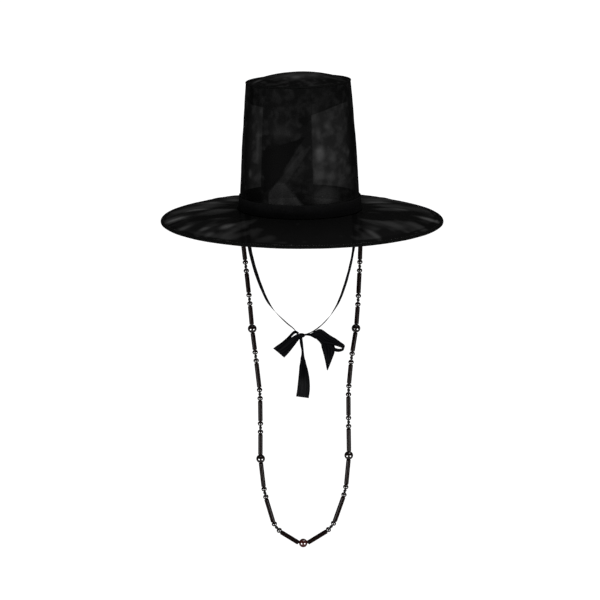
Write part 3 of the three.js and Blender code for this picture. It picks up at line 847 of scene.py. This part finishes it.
def brim_glaze_and_painted_light(point):
    """Streaky with painted sheen at the sides, plain in front of the crown, and dark with its painted shadow
    close to it.
    """
    x = point.x - LEAN["foot"]
    radius = math.hypot(x, point.y)
    degrees = math.degrees(math.atan2(x, -point.y))
    fold_glint_band = math.exp(-((BRIM["edge"] - 6.5 * MM - radius) / (2.2 * MM)) ** 2)
    zones = [
        (-0.2, 1.0),  # all over
        # painted sheen at the sides
        (0.22, smooth_step(abs(x), 60 * MM, 110 * MM)),  # the sides
        # painted shadow of the crown close to it
        (-0.3, math.exp(-(radius - CROWN["foot"]) / (14 * MM))),  # close to the crown
        (-0.2, smooth_step(radius, BRIM["edge"] - 13 * MM, BRIM["edge"] - 10 * MM)),  # the hem
        # painted glints along the fold near the edge
        (0.9, fold_glint_band * max(ripple(point, 12 * MM, 11), 0)),  # glints of its fold
    ]
    return painted_marks_at(degrees, radius, radius, BRIM_PAINTED_SHEEN_AND_SHADE) + sum(amount * share for amount, share in zones)


brim_mesh = sew("brim_cloth", grow("brim_cloth", BRIM_TREE, {
    "Hole radius": BRIM["hole"], "Foot radius": CROWN["foot"], "Edge radius": BRIM["edge"] - 2 * WIRE,
    "Drop": BRIM["drop"] * CLOTH_DROP, "Power": BRIM["power"], "Foot shift": LEAN["foot"],
    "Edge shift": BRIM["shift"], "Crease depth": CREASE_DEPTH, "Seed": CREASE_SEED,
    "Material": BRIM_CLOTH}), outwards=True)
keep_glaze_and_painted_light(brim_mesh, brim_glaze_and_painted_light)
brim = new_piece("brim_cloth", brim_mesh, BRIM_CLOTH, "sheer_cloth", "brim")
print("brim:", len(brim_mesh.polygons), "faces, lowest", round(min(v.co.z for v in brim_mesh.vertices), 4))

# %% [markdown]
# A row of machine stitches holds the binding to the brim, one above and one below. Hundreds of equal
# small things along a path are a job for Geometry Nodes: points at an even pitch along a circle carry
# a short, low-poly stitch each, turned along the path. Real stitches are about 2.5 mm long at a pitch
# of 3 mm, and they are drawn at 4 mm so that the row can be made out.

# %% Stitches along the brim's binding
STITCH = {"Pitch": 4.0 * MM, "Length": 2.8 * MM, "Thickness": 0.5 * MM}
STITCH_RADIUS = BRIM["edge"] - WIRE - 3.0 * MM
STITCH_LEVELS = (0.25 * MM, -1.4 * MM)  # above the brim's cloth and below it


def stitch_tree():
    tree, given, result = new_tree("row of stitches", Float=["Pitch", "Length", "Thickness"],
                                   Material=["Material"])
    path = add(tree, "GeometryNodeMeshToCurve", {0: given["Geometry"]})
    spots = add(tree, "GeometryNodeCurveToPoints", {"Curve": path, "Length": given["Pitch"]}, mode="LENGTH")
    stitch = add(tree, "GeometryNodeMeshUVSphere", {"Segments": 6, "Rings": 4, "Radius": 0.5})
    size = add(tree, "ShaderNodeCombineXYZ",
               {"X": given["Thickness"], "Y": given["Thickness"], "Z": given["Length"]})
    row = add(tree, "GeometryNodeInstanceOnPoints",
              {"Points": spots.outputs["Points"], "Instance": stitch.outputs["Mesh"],
               "Rotation": spots.outputs["Rotation"], "Scale": size})
    whole = add(tree, "GeometryNodeRealizeInstances", {0: row})
    dressed = add(tree, "GeometryNodeSetMaterial", {"Geometry": whole, "Material": given["Material"]})
    feed(tree, result, {0: dressed})
    return tree


def thread_material():
    """Polyester sewing thread: smooth and slightly glossy, so that each stitch catches the light. Its
    plies turn every 0.4 mm, drawn at 0.8 mm."""
    material, tree = new_material("black polyester thread")
    place = add(tree, "ShaderNodeTexCoord").outputs["Object"]
    plies = add(tree, "ShaderNodeTexWave", {"Vector": place, "Scale": WAVE_PERIOD / (0.8 * MM)},
                bands_direction="DIAGONAL")
    return finish_material(material, plies.outputs["Fac"], "#141414", "#2a2a2a", {"Roughness": 0.4})


def line_mesh(name, places, closed=False):
    """A line through points, for a tree to walk along."""
    mesh = bpy.data.meshes.new(name)
    count = len(places)
    edges = [(i, (i + 1) % count) for i in range(count if closed else count - 1)]
    mesh.from_pydata([tuple(place) for place in places], edges, [])
    return mesh


def stitch_row(level):
    ring = [on_brim(degrees, STITCH_RADIUS, level) for degrees in np.linspace(0, 360, 241)[:-1]]
    return grow("stitches", STITCH_TREE, {**STITCH, "Material": THREAD}, line_mesh("ring", ring, closed=True))


THREAD = thread_material()
STITCH_TREE = stitch_tree()
stitches = sew("brim_stitches", *(stitch_row(level) for level in STITCH_LEVELS))
new_piece("brim_stitches", stitches, THREAD, "binding")
print("stitches:", len(stitches.polygons), "faces")

# %% [markdown]
# A close-woven ribbon band goes round the crown's foot and hides the seam to the brim. It is
# grosgrain, whose thick weft gives it ribs across its width. It stands off the cloth by the thickness
# of the lap, spreads a little where it meets the brim, and its ends overlap at the back.

# %% Material of the band
def band_material():
    """Grosgrain ribbon: matt, with upright ribs. They are 0.6 mm apart, drawn at 1.8 mm to show."""
    material, tree = new_material("black grosgrain ribbon")
    place = add(tree, "ShaderNodeTexCoord").outputs
    ribs = add(tree, "ShaderNodeTexWave", {"Vector": place["UV"], "Scale": WAVE_PERIOD / (1.8 * MM)},
               bands_direction="X")
    fuzz = add(tree, "ShaderNodeTexNoise", {"Vector": place["Object"], "Scale": 60.0, "Detail": 4.0})
    return finish_material(material, fuzz.outputs["Fac"], "#0d0d0d", "#171718",
                           {"Roughness": 0.7, "Specular IOR Level": 0.03},
                           bump=(ribs.outputs["Fac"], 0.5, 0.3 * MM))


BAND_CLOTH = band_material()
print("material:", BAND_CLOTH.name)

# %% Band round the crown's foot
BAND_HEIGHT = 21 * MM
BAND_CLEAR = 1.1 * MM  # how far its inside stands off the wall
BAND_FLARE = 1.9 * MM
FLARE_SHARE = 0.45  # share of the band's height that spreads
BAND_THICK = 1.0 * MM
BAND_LAP = 1.15 * MM
BAND_SAG = 0.35 * MM
BAND_START = 171.0  # the ends overlap at the back
BAND_END = 549.0


def band_mesh():
    heights = np.linspace(WALL_FOOT, BAND_HEIGHT, 14)
    outline = [(z, BAND_THICK) for z in heights] + [(z, 0.0) for z in heights[::-1]]
    outline.append(outline[0])
    rows = []
    maps = []
    for degrees in np.linspace(BAND_START, BAND_END, 260):
        lapped = BAND_LAP * smooth_step(degrees, BAND_START + 352, BAND_START + 358)
        row = []
        for z, thick in outline:
            share = z / BAND_HEIGHT
            flare = BAND_FLARE * max(1 - share / FLARE_SHARE, 0) ** 2
            sag = BAND_SAG * ripple(around(degrees, 90 * MM, z), 30 * MM, 6) * share
            row.append(on_crown(degrees, z, BAND_CLEAR + flare + thick + lapped + sag))
        rows.append(row)
        maps.append([(math.radians(degrees) * CROWN["foot"], z) for z, _ in outline])
    return sew("crown_band", grid_mesh("band", rows, maps), fill=lambda edge: True, outwards=True)


band = band_mesh()
new_piece("crown_band_ribbon", band, BAND_CLOTH, "band_cloth", "crown_band")
print("band:", len(band.polygons), "faces")

# %% [markdown]
# The chin ribbon is a length of 20 mm satin. Its pieces follow tables like the model's, fitted more
# closely near the knot: each row is a place along the ribbon, its width there, and how it is turned.
# Where the ribbon is drawn together at the knot it isn't narrower cloth but the same cloth in pleats,
# so the strip is made with points across its width, and the pleats deepen as the width shrinks.

# %% Tables of the ribbon
# Each row is x, y, z of the ribbon's middle and its width in millimetres, then in degrees how its
# width lies, up from +X, and how far that edge turns towards the front.
TIE_RIGHT = [
    (80.7, -31.8, 16.0, 20.0, 180, 68),
    (81.5, -32.1, 0.0, 20.0, 180, 68),
    (82.3, -39.0, -24.0, 20.0, 180, 72),
    (80.6, -47.5, -52.0, 20.0, 180, 76),
    (71.6, -57.6, -93.0, 20.0, 160, 75),
    (59.2, -64.4, -129.0, 18.0, 150, 73),
    (46.5, -68.3, -151.0, 15.0, 140, 80),
    (30.5, -71.4, -168.0, 11.0, 120, 87),
    (16.2, -74.0, -177.2, 6.0, 100, 89),
    (5.8, -77.4, -180.0, 3.6, 95, 89),
]
TIE_LEFT = [
    (-78.8, -39.2, 16.0, 20.0, 0, 63),
    (-79.2, -39.6, 0.0, 20.0, 0, 63),
    (-78.9, -43.5, -24.0, 20.0, 0, 70),
    (-76.4, -49.8, -52.0, 20.0, 5, 71),
    (-65.4, -57.6, -93.0, 20.0, 20, 71),
    (-48.8, -64.8, -132.0, 18.0, 32, 73),
    (-36.5, -67.9, -148.0, 15.0, 40, 80),
    (-20.5, -71.5, -163.0, 11.0, 55, 89),
    (-9.0, -72.6, -172.6, 6.0, 55, 89),
    (-3.6, -77.2, -180.6, 3.6, 50, 88),
]
LOOP_LEFT = [
    (-1.6, -80.2, -180.6, 7.5, -60, 10),
    (-11.0, -81.4, -188.8, 12.5, -54, 4),
    (-23.0, -81.8, -199.9, 18.0, -47, 2),
    (-30.4, -81.2, -206.0, 21.0, -42, 0),
    (-32.6, -79.4, -207.8, 22.0, -41, 0),
    (-30.2, -77.8, -205.6, 21.0, -42, 0),
    (-22.0, -77.8, -195.4, 14.0, -48, 0),
    (-14.3, -78.0, -181.0, 3.8, -50, 0),
    (-7.4, -79.0, -175.2, 4.0, -60, 0),
    (-2.6, -79.8, -177.6, 3.0, -110, 0),
]
LOOP_RIGHT = [
    (4.9, -80.4, -179.5, 2.0, 85, 0),
    (9.8, -81.0, -179.0, 1.7, 88, 2),
    (15.5, -81.4, -179.1, 3.4, 90, 4),
    (22.6, -82.4, -178.6, 13.0, 90, 10),
    (28.8, -83.4, -177.6, 18.0, 78, 14),
    (39.9, -83.8, -185.6, 19.5, 57, 22),
    (50.9, -83.6, -189.5, 14.0, 56, 25),
    (58.6, -82.8, -193.3, 9.0, 58, 25),
    (64.4, -81.0, -196.8, 7.4, 66, 30),
    (66.3, -78.6, -200.4, 8.0, 76, 34),
    (63.6, -76.6, -203.6, 10.5, 80, 46),
    (57.0, -75.6, -204.8, 13.0, 80, 50),
    (49.0, -75.6, -201.6, 13.0, 70, 50),
    (41.0, -76.2, -193.0, 12.0, 60, 46),
    (32.0, -77.0, -184.0, 10.0, 64, 14),
    (18.0, -78.4, -179.8, 3.8, 88, 2),
]
TAIL_RIGHT = [
    (4.7, -76.2, -180.1, 1.6, 80, 0),
    (16.0, -74.6, -180.3, 2.4, 88, 0),
    (25.0, -71.0, -184.4, 8.0, 80, 0),
    (36.6, -68.0, -192.0, 15.0, 45, 0),
    (42.4, -67.0, -202.3, 20.0, 10, 0),
    (43.3, -67.0, -210.3, 17.8, 2, 0),
    (43.0, -67.4, -218.2, 13.0, 0, 2),
    (42.2, -68.0, -228.0, 7.0, 0, 4),
    (41.2, -68.6, -237.8, 1.0, 0, 6),
]
TAIL_CENTRE = [
    (0.8, -80.4, -181.6, 3.4, 0, 20),
    (1.2, -81.8, -187.6, 4.4, 0, 40),
    (2.2, -82.6, -195.0, 7.0, 0, 64),
    (3.6, -82.8, -205.0, 14.0, 0, 77),
    (4.2, -82.6, -217.0, 19.0, 0, 67),
    (5.0, -82.4, -230.0, 20.0, 0, 51),
    (5.5, -82.2, -246.0, 20.0, -1, 34),
    (5.0, -81.8, -263.0, 20.0, -3, 18),
    (3.2, -81.4, -277.0, 20.0, -4, 14),
]
print("rows:", [len(table) for table in (TIE_LEFT, TIE_RIGHT, LOOP_LEFT, LOOP_RIGHT, TAIL_CENTRE,
                                         TAIL_RIGHT)])

# %% [markdown]
# A Catmull-Rom curve goes through every row and turns smoothly between them. The centripetal kind
# makes no loops or cusps where rows are close together, so it suits a tight bow. It works on any
# number of columns at once, and so it smooths the widths and turns as well.

# %% Smooth path through rows
def smooth_rows(rows, t):
    """The row at share t, from 0 to 1, of a centripetal Catmull-Rom curve through rows."""
    rows = np.asarray(rows, float)
    last = len(rows) - 1
    at = min(max(t, 0.0), 1.0) * last
    i = min(int(at), last - 1)
    w = at - i
    b, c = rows[i], rows[i + 1]
    a = rows[i - 1] if i > 0 else 2 * b - c
    d = rows[i + 2] if i + 2 <= last else 2 * c - b
    ab, bc, cd = (max(np.linalg.norm(q - p), 1e-9) ** 0.5 for p, q in ((a, b), (b, c), (c, d)))
    leave = ((b - a) / ab - (c - a) / (ab + bc) + (c - b) / bc) * bc
    arrive = ((c - b) / bc - (d - b) / (bc + cd) + (d - c) / cd) * bc
    return (b + leave * w + (3 * (c - b) - 2 * leave - arrive) * w ** 2
            + (2 * (b - c) + leave + arrive) * w ** 3)


def ribbon_row(rows, t):
    """Middle, width, and the directions along and across the ribbon's width, at share t of its length."""
    table = np.asarray(rows, float)
    middle = smooth_rows(table[:, :3], t)
    step = 1e-3
    before = smooth_rows(table[:, :3], t - step)
    after = smooth_rows(table[:, :3], t + step)
    width, lie, turn = smooth_rows(np.column_stack([table[:, 3], np.radians(table[:, 4:])]), t)
    along = Vector((math.cos(lie) * math.cos(turn), -math.sin(turn), math.sin(lie) * math.cos(turn)))
    through = Vector(after - before).cross(along).normalized()
    return Vector(middle) * MM, width * MM, along, through


print("right tie starts at", [round(v, 4) for v in ribbon_row(TIE_RIGHT, 0)[0]])

# %% Material of the satin ribbon
STREAK_SCALE = (450.0, 30.0, 1.0)  # streaks to the metre across the ribbon and along it


def satin_material():
    """Polyester satin: long floating threads give it a soft streak of light along its length, painted into
    its colour as paler streaks. They are 0.1 mm apart, drawn as streaks about 2 mm wide."""
    material, tree = new_material("black polyester satin")
    place = add(tree, "ShaderNodeTexCoord").outputs["UV"]
    fine = add(tree, "ShaderNodeMapping", {"Vector": place, "Scale": STREAK_SCALE})
    floats = add(tree, "ShaderNodeTexNoise", {"Vector": fine, "Scale": 1.0, "Detail": 2.0}).outputs["Fac"]
    painted_sheen_streak = add(tree, "ShaderNodeMapRange", {"Value": floats, "From Min": 0.4, "From Max": 0.7})
    return finish_material(material, painted_sheen_streak, "#020203", "#101012",
                           {"Roughness": 0.42, "Specular IOR Level": 0.015}, bump=(floats, 0.2, 0.15 * MM))


SATIN = satin_material()
print("material:", SATIN.name)

# %% Ribbon pieces
FULL_WIDTH = 20 * MM
SATIN_THICK = 0.35 * MM
CRUMPLE = 0.35 * MM
ROW_STEPS = 9  # rows of points from one row of a table to the next
ACROSS = np.linspace(-1, 1, 13)  # points across the width


def ribbon_length(rows):
    spots = [Vector(smooth_rows(np.asarray(rows, float)[:, :3], t)) * MM for t in np.linspace(0, 1, 200)]
    return sum((b - a).length for a, b in zip(spots, spots[1:]))


def ribbon_mesh(name, rows, pleats, depth, seed):
    length = ribbon_length(rows)
    grid = []
    maps = []
    for t in np.linspace(0, 1, (len(rows) - 1) * ROW_STEPS + 1):
        middle, width, along, through = ribbon_row(rows, t)
        drawn = min(max((FULL_WIDTH - width) / FULL_WIDTH, 0), 1)
        row = []
        for a in ACROSS:
            fold = depth * drawn * math.cos(math.pi * pleats * (a + 1))
            spot = middle + along * (a * width / 2)
            row.append(spot + through * (fold + CRUMPLE * ripple(spot, 12 * MM, seed)))
        grid.append(row)
        maps.append([(a * FULL_WIDTH / 2, t * length) for a in ACROSS])
    return grid_mesh(name, grid, maps)


def make_ribbon(name, rows, node, pleats, seed, depth=1.3 * MM):
    """pleats is how many waves lie across the ribbon where it is drawn together, and depth their height."""
    piece = new_piece(name, ribbon_mesh(name, rows, pleats, depth, seed), SATIN, "satin_ribbon", node)
    wall = piece.modifiers.new("thickness", "SOLIDIFY")
    wall.thickness = SATIN_THICK
    wall.offset = 0


make_ribbon("chin_tie_left", TIE_LEFT, "tie_left", 1.0, 1.0, depth=0.4 * MM)
make_ribbon("chin_tie_right", TIE_RIGHT, "tie_right", 1.0, 2.0, depth=0.4 * MM)
make_ribbon("bow_left_loop", LOOP_LEFT, "bow_loop_left", 2.5, 3.0)
make_ribbon("bow_right_loop", LOOP_RIGHT, "bow_loop_right", 2.5, 4.0)
make_ribbon("bow_centre_tail", TAIL_CENTRE, "bow_tail_centre", 1.5, 5.0)
make_ribbon("bow_right_tail", TAIL_RIGHT, "bow_tail_right", 1.5, 6.0)

# %% [markdown]
# The knot is the ribbon wrapped once round the rest and pulled tight. It is a small rounded form
# whose wrap shows as upright folds, so a ball is made a little fuller and given five folds that run
# up it at a slight slant.

# %% Knot of the bow
KNOT_MIDDLE = Vector((1.6, -78.8, -180.6)) * MM
KNOT_HALF = Vector((5.2, 3.6, 3.4)) * MM
KNOT_SPINS = 36  # steps round the knot
KNOT_LIFTS = 18  # and up it


def knot_mesh():
    rows = []
    maps = []
    for spin in np.linspace(0, 2 * math.pi, KNOT_SPINS + 1):
        row = []
        for lift in np.linspace(-math.pi / 2, math.pi / 2, KNOT_LIFTS + 1):
            level = math.cos(lift)
            crease = 1 + 0.09 * math.cos(5 * spin + 2 * math.sin(lift)) * level
            full = math.copysign(abs(math.sin(lift)) ** 0.8, math.sin(lift))
            flat = level ** 0.75 * crease
            row.append(KNOT_MIDDLE + KNOT_HALF * Vector((flat * math.cos(spin), flat * math.sin(spin), full)))
        rows.append(row)
        maps.append([(spin * KNOT_HALF.x, j * KNOT_HALF.z / 9) for j in range(KNOT_LIFTS + 1)])
    return sew("bow_knot", grid_mesh("knot", rows, maps), outwards=True)


knot = knot_mesh()
new_piece("bow_knot_wrap", knot, SATIN, "satin_ribbon", "bow_knot")
print("knot:", len(knot.polygons), "faces")

# %% [markdown]
# The beads are strung from the big bead at the bottom up each side to a knot under the brim: long
# tubes, pairs of small round beads, and two big ones. Geometry Nodes string them: the path gives a
# point for each bead with its kind, direction and length, and the tree puts the right form on each.
# The forms are turned, with a mouth at each end where the cord goes in. The round beads are polished
# and shine in hard dots, and the tubes were only tumbled, so they have a faint streak.

# %% Tables of the bead strings
CENTRE_BEAD = Vector((4.5, -70.0, -515.3)) * MM
BIG = {"radius": 6.8 * MM, "length": 12.8 * MM, "mouth": 1.7 * MM}
SMALL = {"radius": 4.3 * MM, "length": 7.2 * MM, "mouth": 1.2 * MM, "pitch": 13.0 * MM}
TUBE_RADIUS = 3.5 * MM
CORD_RADIUS = 0.8 * MM
END_KNOT = 4.4 * MM
# Each row is the bead, then its distance out, forward and down in millimetres.
STRING_LEFT = [
    ("pair", 36.9, 70.0, 489.7),
    ("pair", 54.6, 70.0, 433.6),
    ("big", 61.0, 70.0, 378.3),
    ("pair", 61.0, 69.4, 328.8),
    ("pair", 61.8, 61.7, 277.5),
    ("pair", 68.2, 52.7, 220.3),
    ("big", 73.4, 46.1, 178.3),
    ("pair", 77.5, 39.1, 133.9),
    ("pair", 82.9, 31.3, 84.5),
    ("pair", 88.2, 25.0, 37.0),
    ("knot", 91.5, 22.0, 3.9),
]
STRING_RIGHT = [
    ("pair", 47.9, 70.0, 488.5),
    ("pair", 68.9, 70.0, 430.1),
    ("big", 74.5, 70.0, 372.9),
    ("pair", 73.9, 68.5, 320.0),
    ("pair", 73.9, 60.8, 271.6),
    ("pair", 78.3, 53.0, 222.5),
    ("big", 85.0, 46.0, 177.7),
    ("pair", 88.1, 39.2, 135.0),
    ("pair", 90.4, 31.2, 84.0),
    ("pair", 91.8, 25.0, 37.0),
    ("knot", 92.6, 22.0, 3.9),
]
print("rows:", len(STRING_LEFT), "left and", len(STRING_RIGHT), "right")

# %% Materials of the beads and their cord
def bead_material(name, dark, light, coat=1.0, ior=1.7, level=0.5, smooth=0.06, scuffed=0.14):
    """Polished resin: almost black until light falls through it, with a clear, hard gloss. Resin that
    was only tumbled has no such coat, and its gloss is a faint, wide streak. Clouds of colour in cast
    resin are about 6 mm wide, and so are these."""
    material, tree = new_material(name)
    place = add(tree, "ShaderNodeTexCoord").outputs["Object"]
    clouds = add(tree, "ShaderNodeTexNoise",
                 {"Vector": place, "Scale": 160.0, "Detail": 3.0, "Distortion": 1.5}).outputs["Fac"]
    scuff = add(tree, "ShaderNodeMapRange", {"Value": clouds, "To Min": smooth, "To Max": scuffed})
    return finish_material(material, clouds, dark, light, {
        "Roughness": scuff, "IOR": ior, "Specular IOR Level": level, "Coat Weight": coat,
        "Coat Roughness": 0.04, "Coat IOR": 1.6})


def cord_material():
    """Waxed cotton cord: matt, with a slanting twist. Its plies turn every 0.7 mm, drawn at 1.4 mm."""
    material, tree = new_material("black waxed cotton cord")
    place = add(tree, "ShaderNodeTexCoord").outputs["Object"]
    plies = add(tree, "ShaderNodeTexWave", {"Vector": place, "Scale": WAVE_PERIOD / (1.4 * MM)},
                bands_direction="DIAGONAL").outputs["Fac"]
    return finish_material(material, plies, "#080808", "#141413",
                           {"Roughness": 0.7, "Specular IOR Level": 0.15}, bump=(plies, 0.6, 0.2 * MM))


BROWN_BEAD = bead_material("dark brown polished resin", "#080505", "#150c0a")
RED_BEAD = bead_material("red brown polished resin", "#240c0a", "#481a14")
TUBE_RESIN = bead_material("dark brown tumbled resin", "#080505", "#150c0a", coat=0.0, ior=1.5, level=0.07,
                           smooth=0.18, scuffed=0.28)
CORD = cord_material()
print("materials:", [material.name for material in (BROWN_BEAD, RED_BEAD, TUBE_RESIN, CORD)])

# %% Forms of the beads
BORE = 0.8  # the bore's radius beside its mouth's


def turned_form(name, profile, sides, ridge=None):
    """A closed form turned about Z from (radius, height) rows. ridge swells it by angle and height."""
    rows = []
    for angle in np.linspace(0, 2 * math.pi, sides + 1)[:-1]:
        row = []
        for radius, z in profile:
            swollen = radius * (ridge(angle, z) if ridge else 1)
            row.append((swollen * math.cos(angle), swollen * math.sin(angle), z))
        rows.append(row)
    return sew(name, grid_mesh(name, rows, closed=True), outwards=True)


def ball_profile(bead, steps):
    """From one mouth of the bore round the outside to the other, and back through the bore."""
    start = math.asin(bead["mouth"] / bead["radius"])
    half = bead["length"] / 2
    rows = [(bead["radius"] * math.sin(angle), -half * math.cos(angle) / math.cos(start))
            for angle in np.linspace(start, math.pi - start, steps)]
    low = (bead["mouth"] * BORE, -0.76 * half)
    high = (bead["mouth"] * BORE, 0.76 * half)
    return [low, *rows, high, low]


def tube_profile():
    """A tube of length 1, so that its length is its scale. Its rounded ends are in the same measure."""
    mouth = TUBE_RADIUS * 0.5
    ends = [(mouth * BORE, 0.02), (mouth, 0.0), (TUBE_RADIUS * 0.82, 0.008), (TUBE_RADIUS * 0.96, 0.02),
            (TUBE_RADIUS, 0.04), (TUBE_RADIUS, 0.06)]
    return [(r, z - 0.5) for r, z in ends] + [(r, 0.5 - z) for r, z in ends[::-1]] + [(mouth * BORE, -0.48)]


FORMS = {
    "Tube": turned_form("tube_form", tube_profile(), 18),
    "Small bead": turned_form("small_form", ball_profile(SMALL, 12), 18),
    "Big bead": turned_form("big_form", ball_profile(BIG, 16), 24),
}
print("forms:", {name: len(mesh.polygons) for name, mesh in FORMS.items()})

# %% [markdown]
# Between the two beads of a pair, and under the brim, the cord is knotted. An overhand knot in thick
# cord looks like a small barrel with slanting ridges, which a turned form with a twist gives.

# %% Knots of the cord
def knot_ridge(angle, z):
    """Three ridges that wind round the knot."""
    return 1 + 0.16 * math.cos(3 * angle + 7 * (z + 0.5))


# The knot is 1 long and 1 in radius, so that its size is its scale.
knot_profile = [(0.42 + 0.58 * math.sin(math.pi * share) ** 0.7, share - 0.5)
                for share in np.linspace(0, 1, 13)]
FORMS["Knot"] = turned_form("knot_form", knot_profile, 16, knot_ridge)
print("knot form:", len(FORMS["Knot"].polygons), "faces")

# %% Places along a string
PATH_STEPS = 60  # points from one row of a table to the next
TUBE_CLEAR = 0.5 * MM  # between the centre bead and the first tube
# What each row of a table puts on the cord, and its length.
GROUPS = {
    "pair": [("Small bead", SMALL["length"]), ("Knot", SMALL["pitch"] - SMALL["length"]),
             ("Small bead", SMALL["length"])],
    "big": [("Big bead", BIG["length"])],
    "knot": [("Knot", END_KNOT)],
}


def string_path(side, table):
    """Points along the cord from the centre bead's bore to the brim, how far along it each one is, and
    how far along it the rows of the table are."""
    # the cord leaves the centre bead sideways and ends in the cloth of the brim
    start = CENTRE_BEAD + Vector((side * 0.3 * MM, 0, 0))
    leaving = start + Vector((side * 7.2 * MM, 0, 0.4 * MM))
    strung = [Vector((side * out, -fore, -down)) * MM for _, out, fore, down in table]
    top = Vector((strung[-1].x, strung[-1].y, -1.6 * MM))
    rows = [start, leaving, *strung, top]
    spots = [Vector(smooth_rows(rows, t)) for t in np.linspace(0, 1, (len(rows) - 1) * PATH_STEPS + 1)]
    walked = np.cumsum([0.0, *((b - a).length for a, b in zip(spots, spots[1:]))])
    return spots, walked, [walked[(i + 2) * PATH_STEPS] for i in range(len(table))]


def at_length(spots, walked, length):
    i = min(max(int(np.searchsorted(walked, length)), 1), len(spots) - 1)
    share = (length - walked[i - 1]) / max(walked[i] - walked[i - 1], 1e-9)
    return spots[i - 1].lerp(spots[i], min(share, 1.0))


def lay_out(table, marks):
    """What is strung, as (kind, from, to) along the cord. A tube fills the way up to each bead."""
    strung = []
    reached = BIG["length"] / 2 + TUBE_CLEAR
    for (bead, *_), mark in zip(table, marks):
        low = mark - sum(length for _, length in GROUPS[bead]) / 2
        if bead != "knot":
            strung.append(("Tube", reached, low))
        for kind, length in GROUPS[bead]:
            strung.append((kind, low, low + length))
            low += length
        reached = low
    return strung


print("the right string is", round(float(string_path(1, STRING_RIGHT)[1][-1]), 3), "m of cord")

# %% Geometry Nodes tree of the strings
STUFF = {"Tube": "Tube material", "Knot": "Cord material"}


def string_tree():
    tree, given, result = new_tree(
        "strung beads", Object=[*FORMS, "Cord path"], Float=["Cord radius"],
        Material=["Bead material", "Tube material", "Cord material"])
    kept = {name: add(tree, "GeometryNodeInputNamedAttribute", {"Name": name}, data_type=kind).outputs[0]
            for name, kind in (("kind", "INT"), ("turn", "FLOAT_VECTOR"), ("size", "FLOAT_VECTOR"))}
    joined = add(tree, "GeometryNodeJoinGeometry")
    for number, label in enumerate(FORMS):
        wanted = add(tree, "FunctionNodeCompare", {2: kept["kind"], 3: number}, data_type="INT",
                     operation="EQUAL")
        form = add(tree, "GeometryNodeObjectInfo", {"Object": given[label]})
        put = add(tree, "GeometryNodeInstanceOnPoints",
                  {"Points": given["Geometry"], "Selection": wanted, "Instance": form.outputs["Geometry"],
                   "Rotation": kept["turn"], "Scale": kept["size"]})
        whole = add(tree, "GeometryNodeRealizeInstances", {0: put})
        dressed = add(tree, "GeometryNodeSetMaterial",
                      {"Geometry": whole, "Material": given[STUFF.get(label, "Bead material")]})
        feed(tree, joined, {0: dressed})
    path = add(tree, "GeometryNodeObjectInfo", {"Object": given["Cord path"]})
    curve = add(tree, "GeometryNodeMeshToCurve", {0: path.outputs["Geometry"]})
    section = add(tree, "GeometryNodeCurvePrimitiveCircle", {"Resolution": 8, "Radius": given["Cord radius"]})
    cord = add(tree, "GeometryNodeCurveToMesh", {"Curve": curve, "Profile Curve": section, "Fill Caps": True})
    black = add(tree, "GeometryNodeSetMaterial", {"Geometry": cord, "Material": given["Cord material"]})
    feed(tree, joined, {0: black})
    feed(tree, result, {0: add(tree, "GeometryNodeRealizeInstances", {0: joined})})
    return tree


STRING_TREE = string_tree()
print("string tree:", len(STRING_TREE.nodes), "nodes")

# %% Bead strings
PAIR_KNOT_RADIUS = 2.3 * MM
END_KNOT_RADIUS = 2.2 * MM


def bead_points(strung, spots, walked):
    """A mesh of loose points, one for each bead, with its kind, turn and size."""
    mesh = bpy.data.meshes.new("points")
    middles, turns, sizes, kinds = [], [], [], []
    for kind, low, high in strung:
        start = at_length(spots, walked, low)
        end = at_length(spots, walked, high)
        middles.append(tuple((start + end) / 2))
        turns.append(tuple((end - start).to_track_quat("Z", "Y").to_euler()))
        length = (end - start).length
        # the knot under the brim is the shorter one
        thick = PAIR_KNOT_RADIUS if high - low > END_KNOT + 0.1 * MM else END_KNOT_RADIUS
        sizes.append({"Tube": (1, 1, length), "Knot": (thick, thick, length)}.get(kind, (1, 1, 1)))
        kinds.append(list(FORMS).index(kind))
    mesh.from_pydata(middles, [], [])
    mesh.attributes.new("kind", "INT", "POINT").data.foreach_set("value", kinds)
    mesh.attributes.new("turn", "FLOAT_VECTOR", "POINT").data.foreach_set("vector", np.ravel(turns))
    mesh.attributes.new("size", "FLOAT_VECTOR", "POINT").data.foreach_set("vector", np.ravel(sizes))
    return mesh


def make_string(name, side, table, node):
    spots, walked, marks = string_path(side, table)
    strung = lay_out(table, marks)
    # objects that the tree reads, and that are taken away afterwards
    helpers = {}
    for label, mesh in {**FORMS, "Cord path": line_mesh("path", spots)}.items():
        helpers[label] = bpy.data.objects.new(label, mesh)
        scene.collection.objects.link(helpers[label])
    mesh = grow(name, STRING_TREE, {
        **helpers, "Cord radius": CORD_RADIUS, "Bead material": BROWN_BEAD, "Tube material": TUBE_RESIN,
        "Cord material": CORD}, bead_points(strung, spots, walked))
    for helper in helpers.values():
        bpy.data.objects.remove(helper)
    new_piece(name, mesh, None, "bead_brown", node)
    beads = sum(kind.endswith("bead") for kind, _, _ in strung)
    print(name, beads, "round beads,", len(mesh.polygons), "faces,", round(float(walked[-1]), 3), "m of cord")


make_string("beads_left", -1, STRING_LEFT, "bead_string_left")
make_string("beads_right", 1, STRING_RIGHT, "bead_string_right")

# %% Bead at the lowest point
centre = turned_form("centre", ball_profile(BIG, 20), 32)
centre.transform(Matrix.Translation(CENTRE_BEAD) @ Matrix.Rotation(math.pi / 2, 4, "Y"))
new_piece("lowest_bead", centre, RED_BEAD, "bead_red", "centre_bead")
print("lowest bead:", len(centre.polygons), "faces")
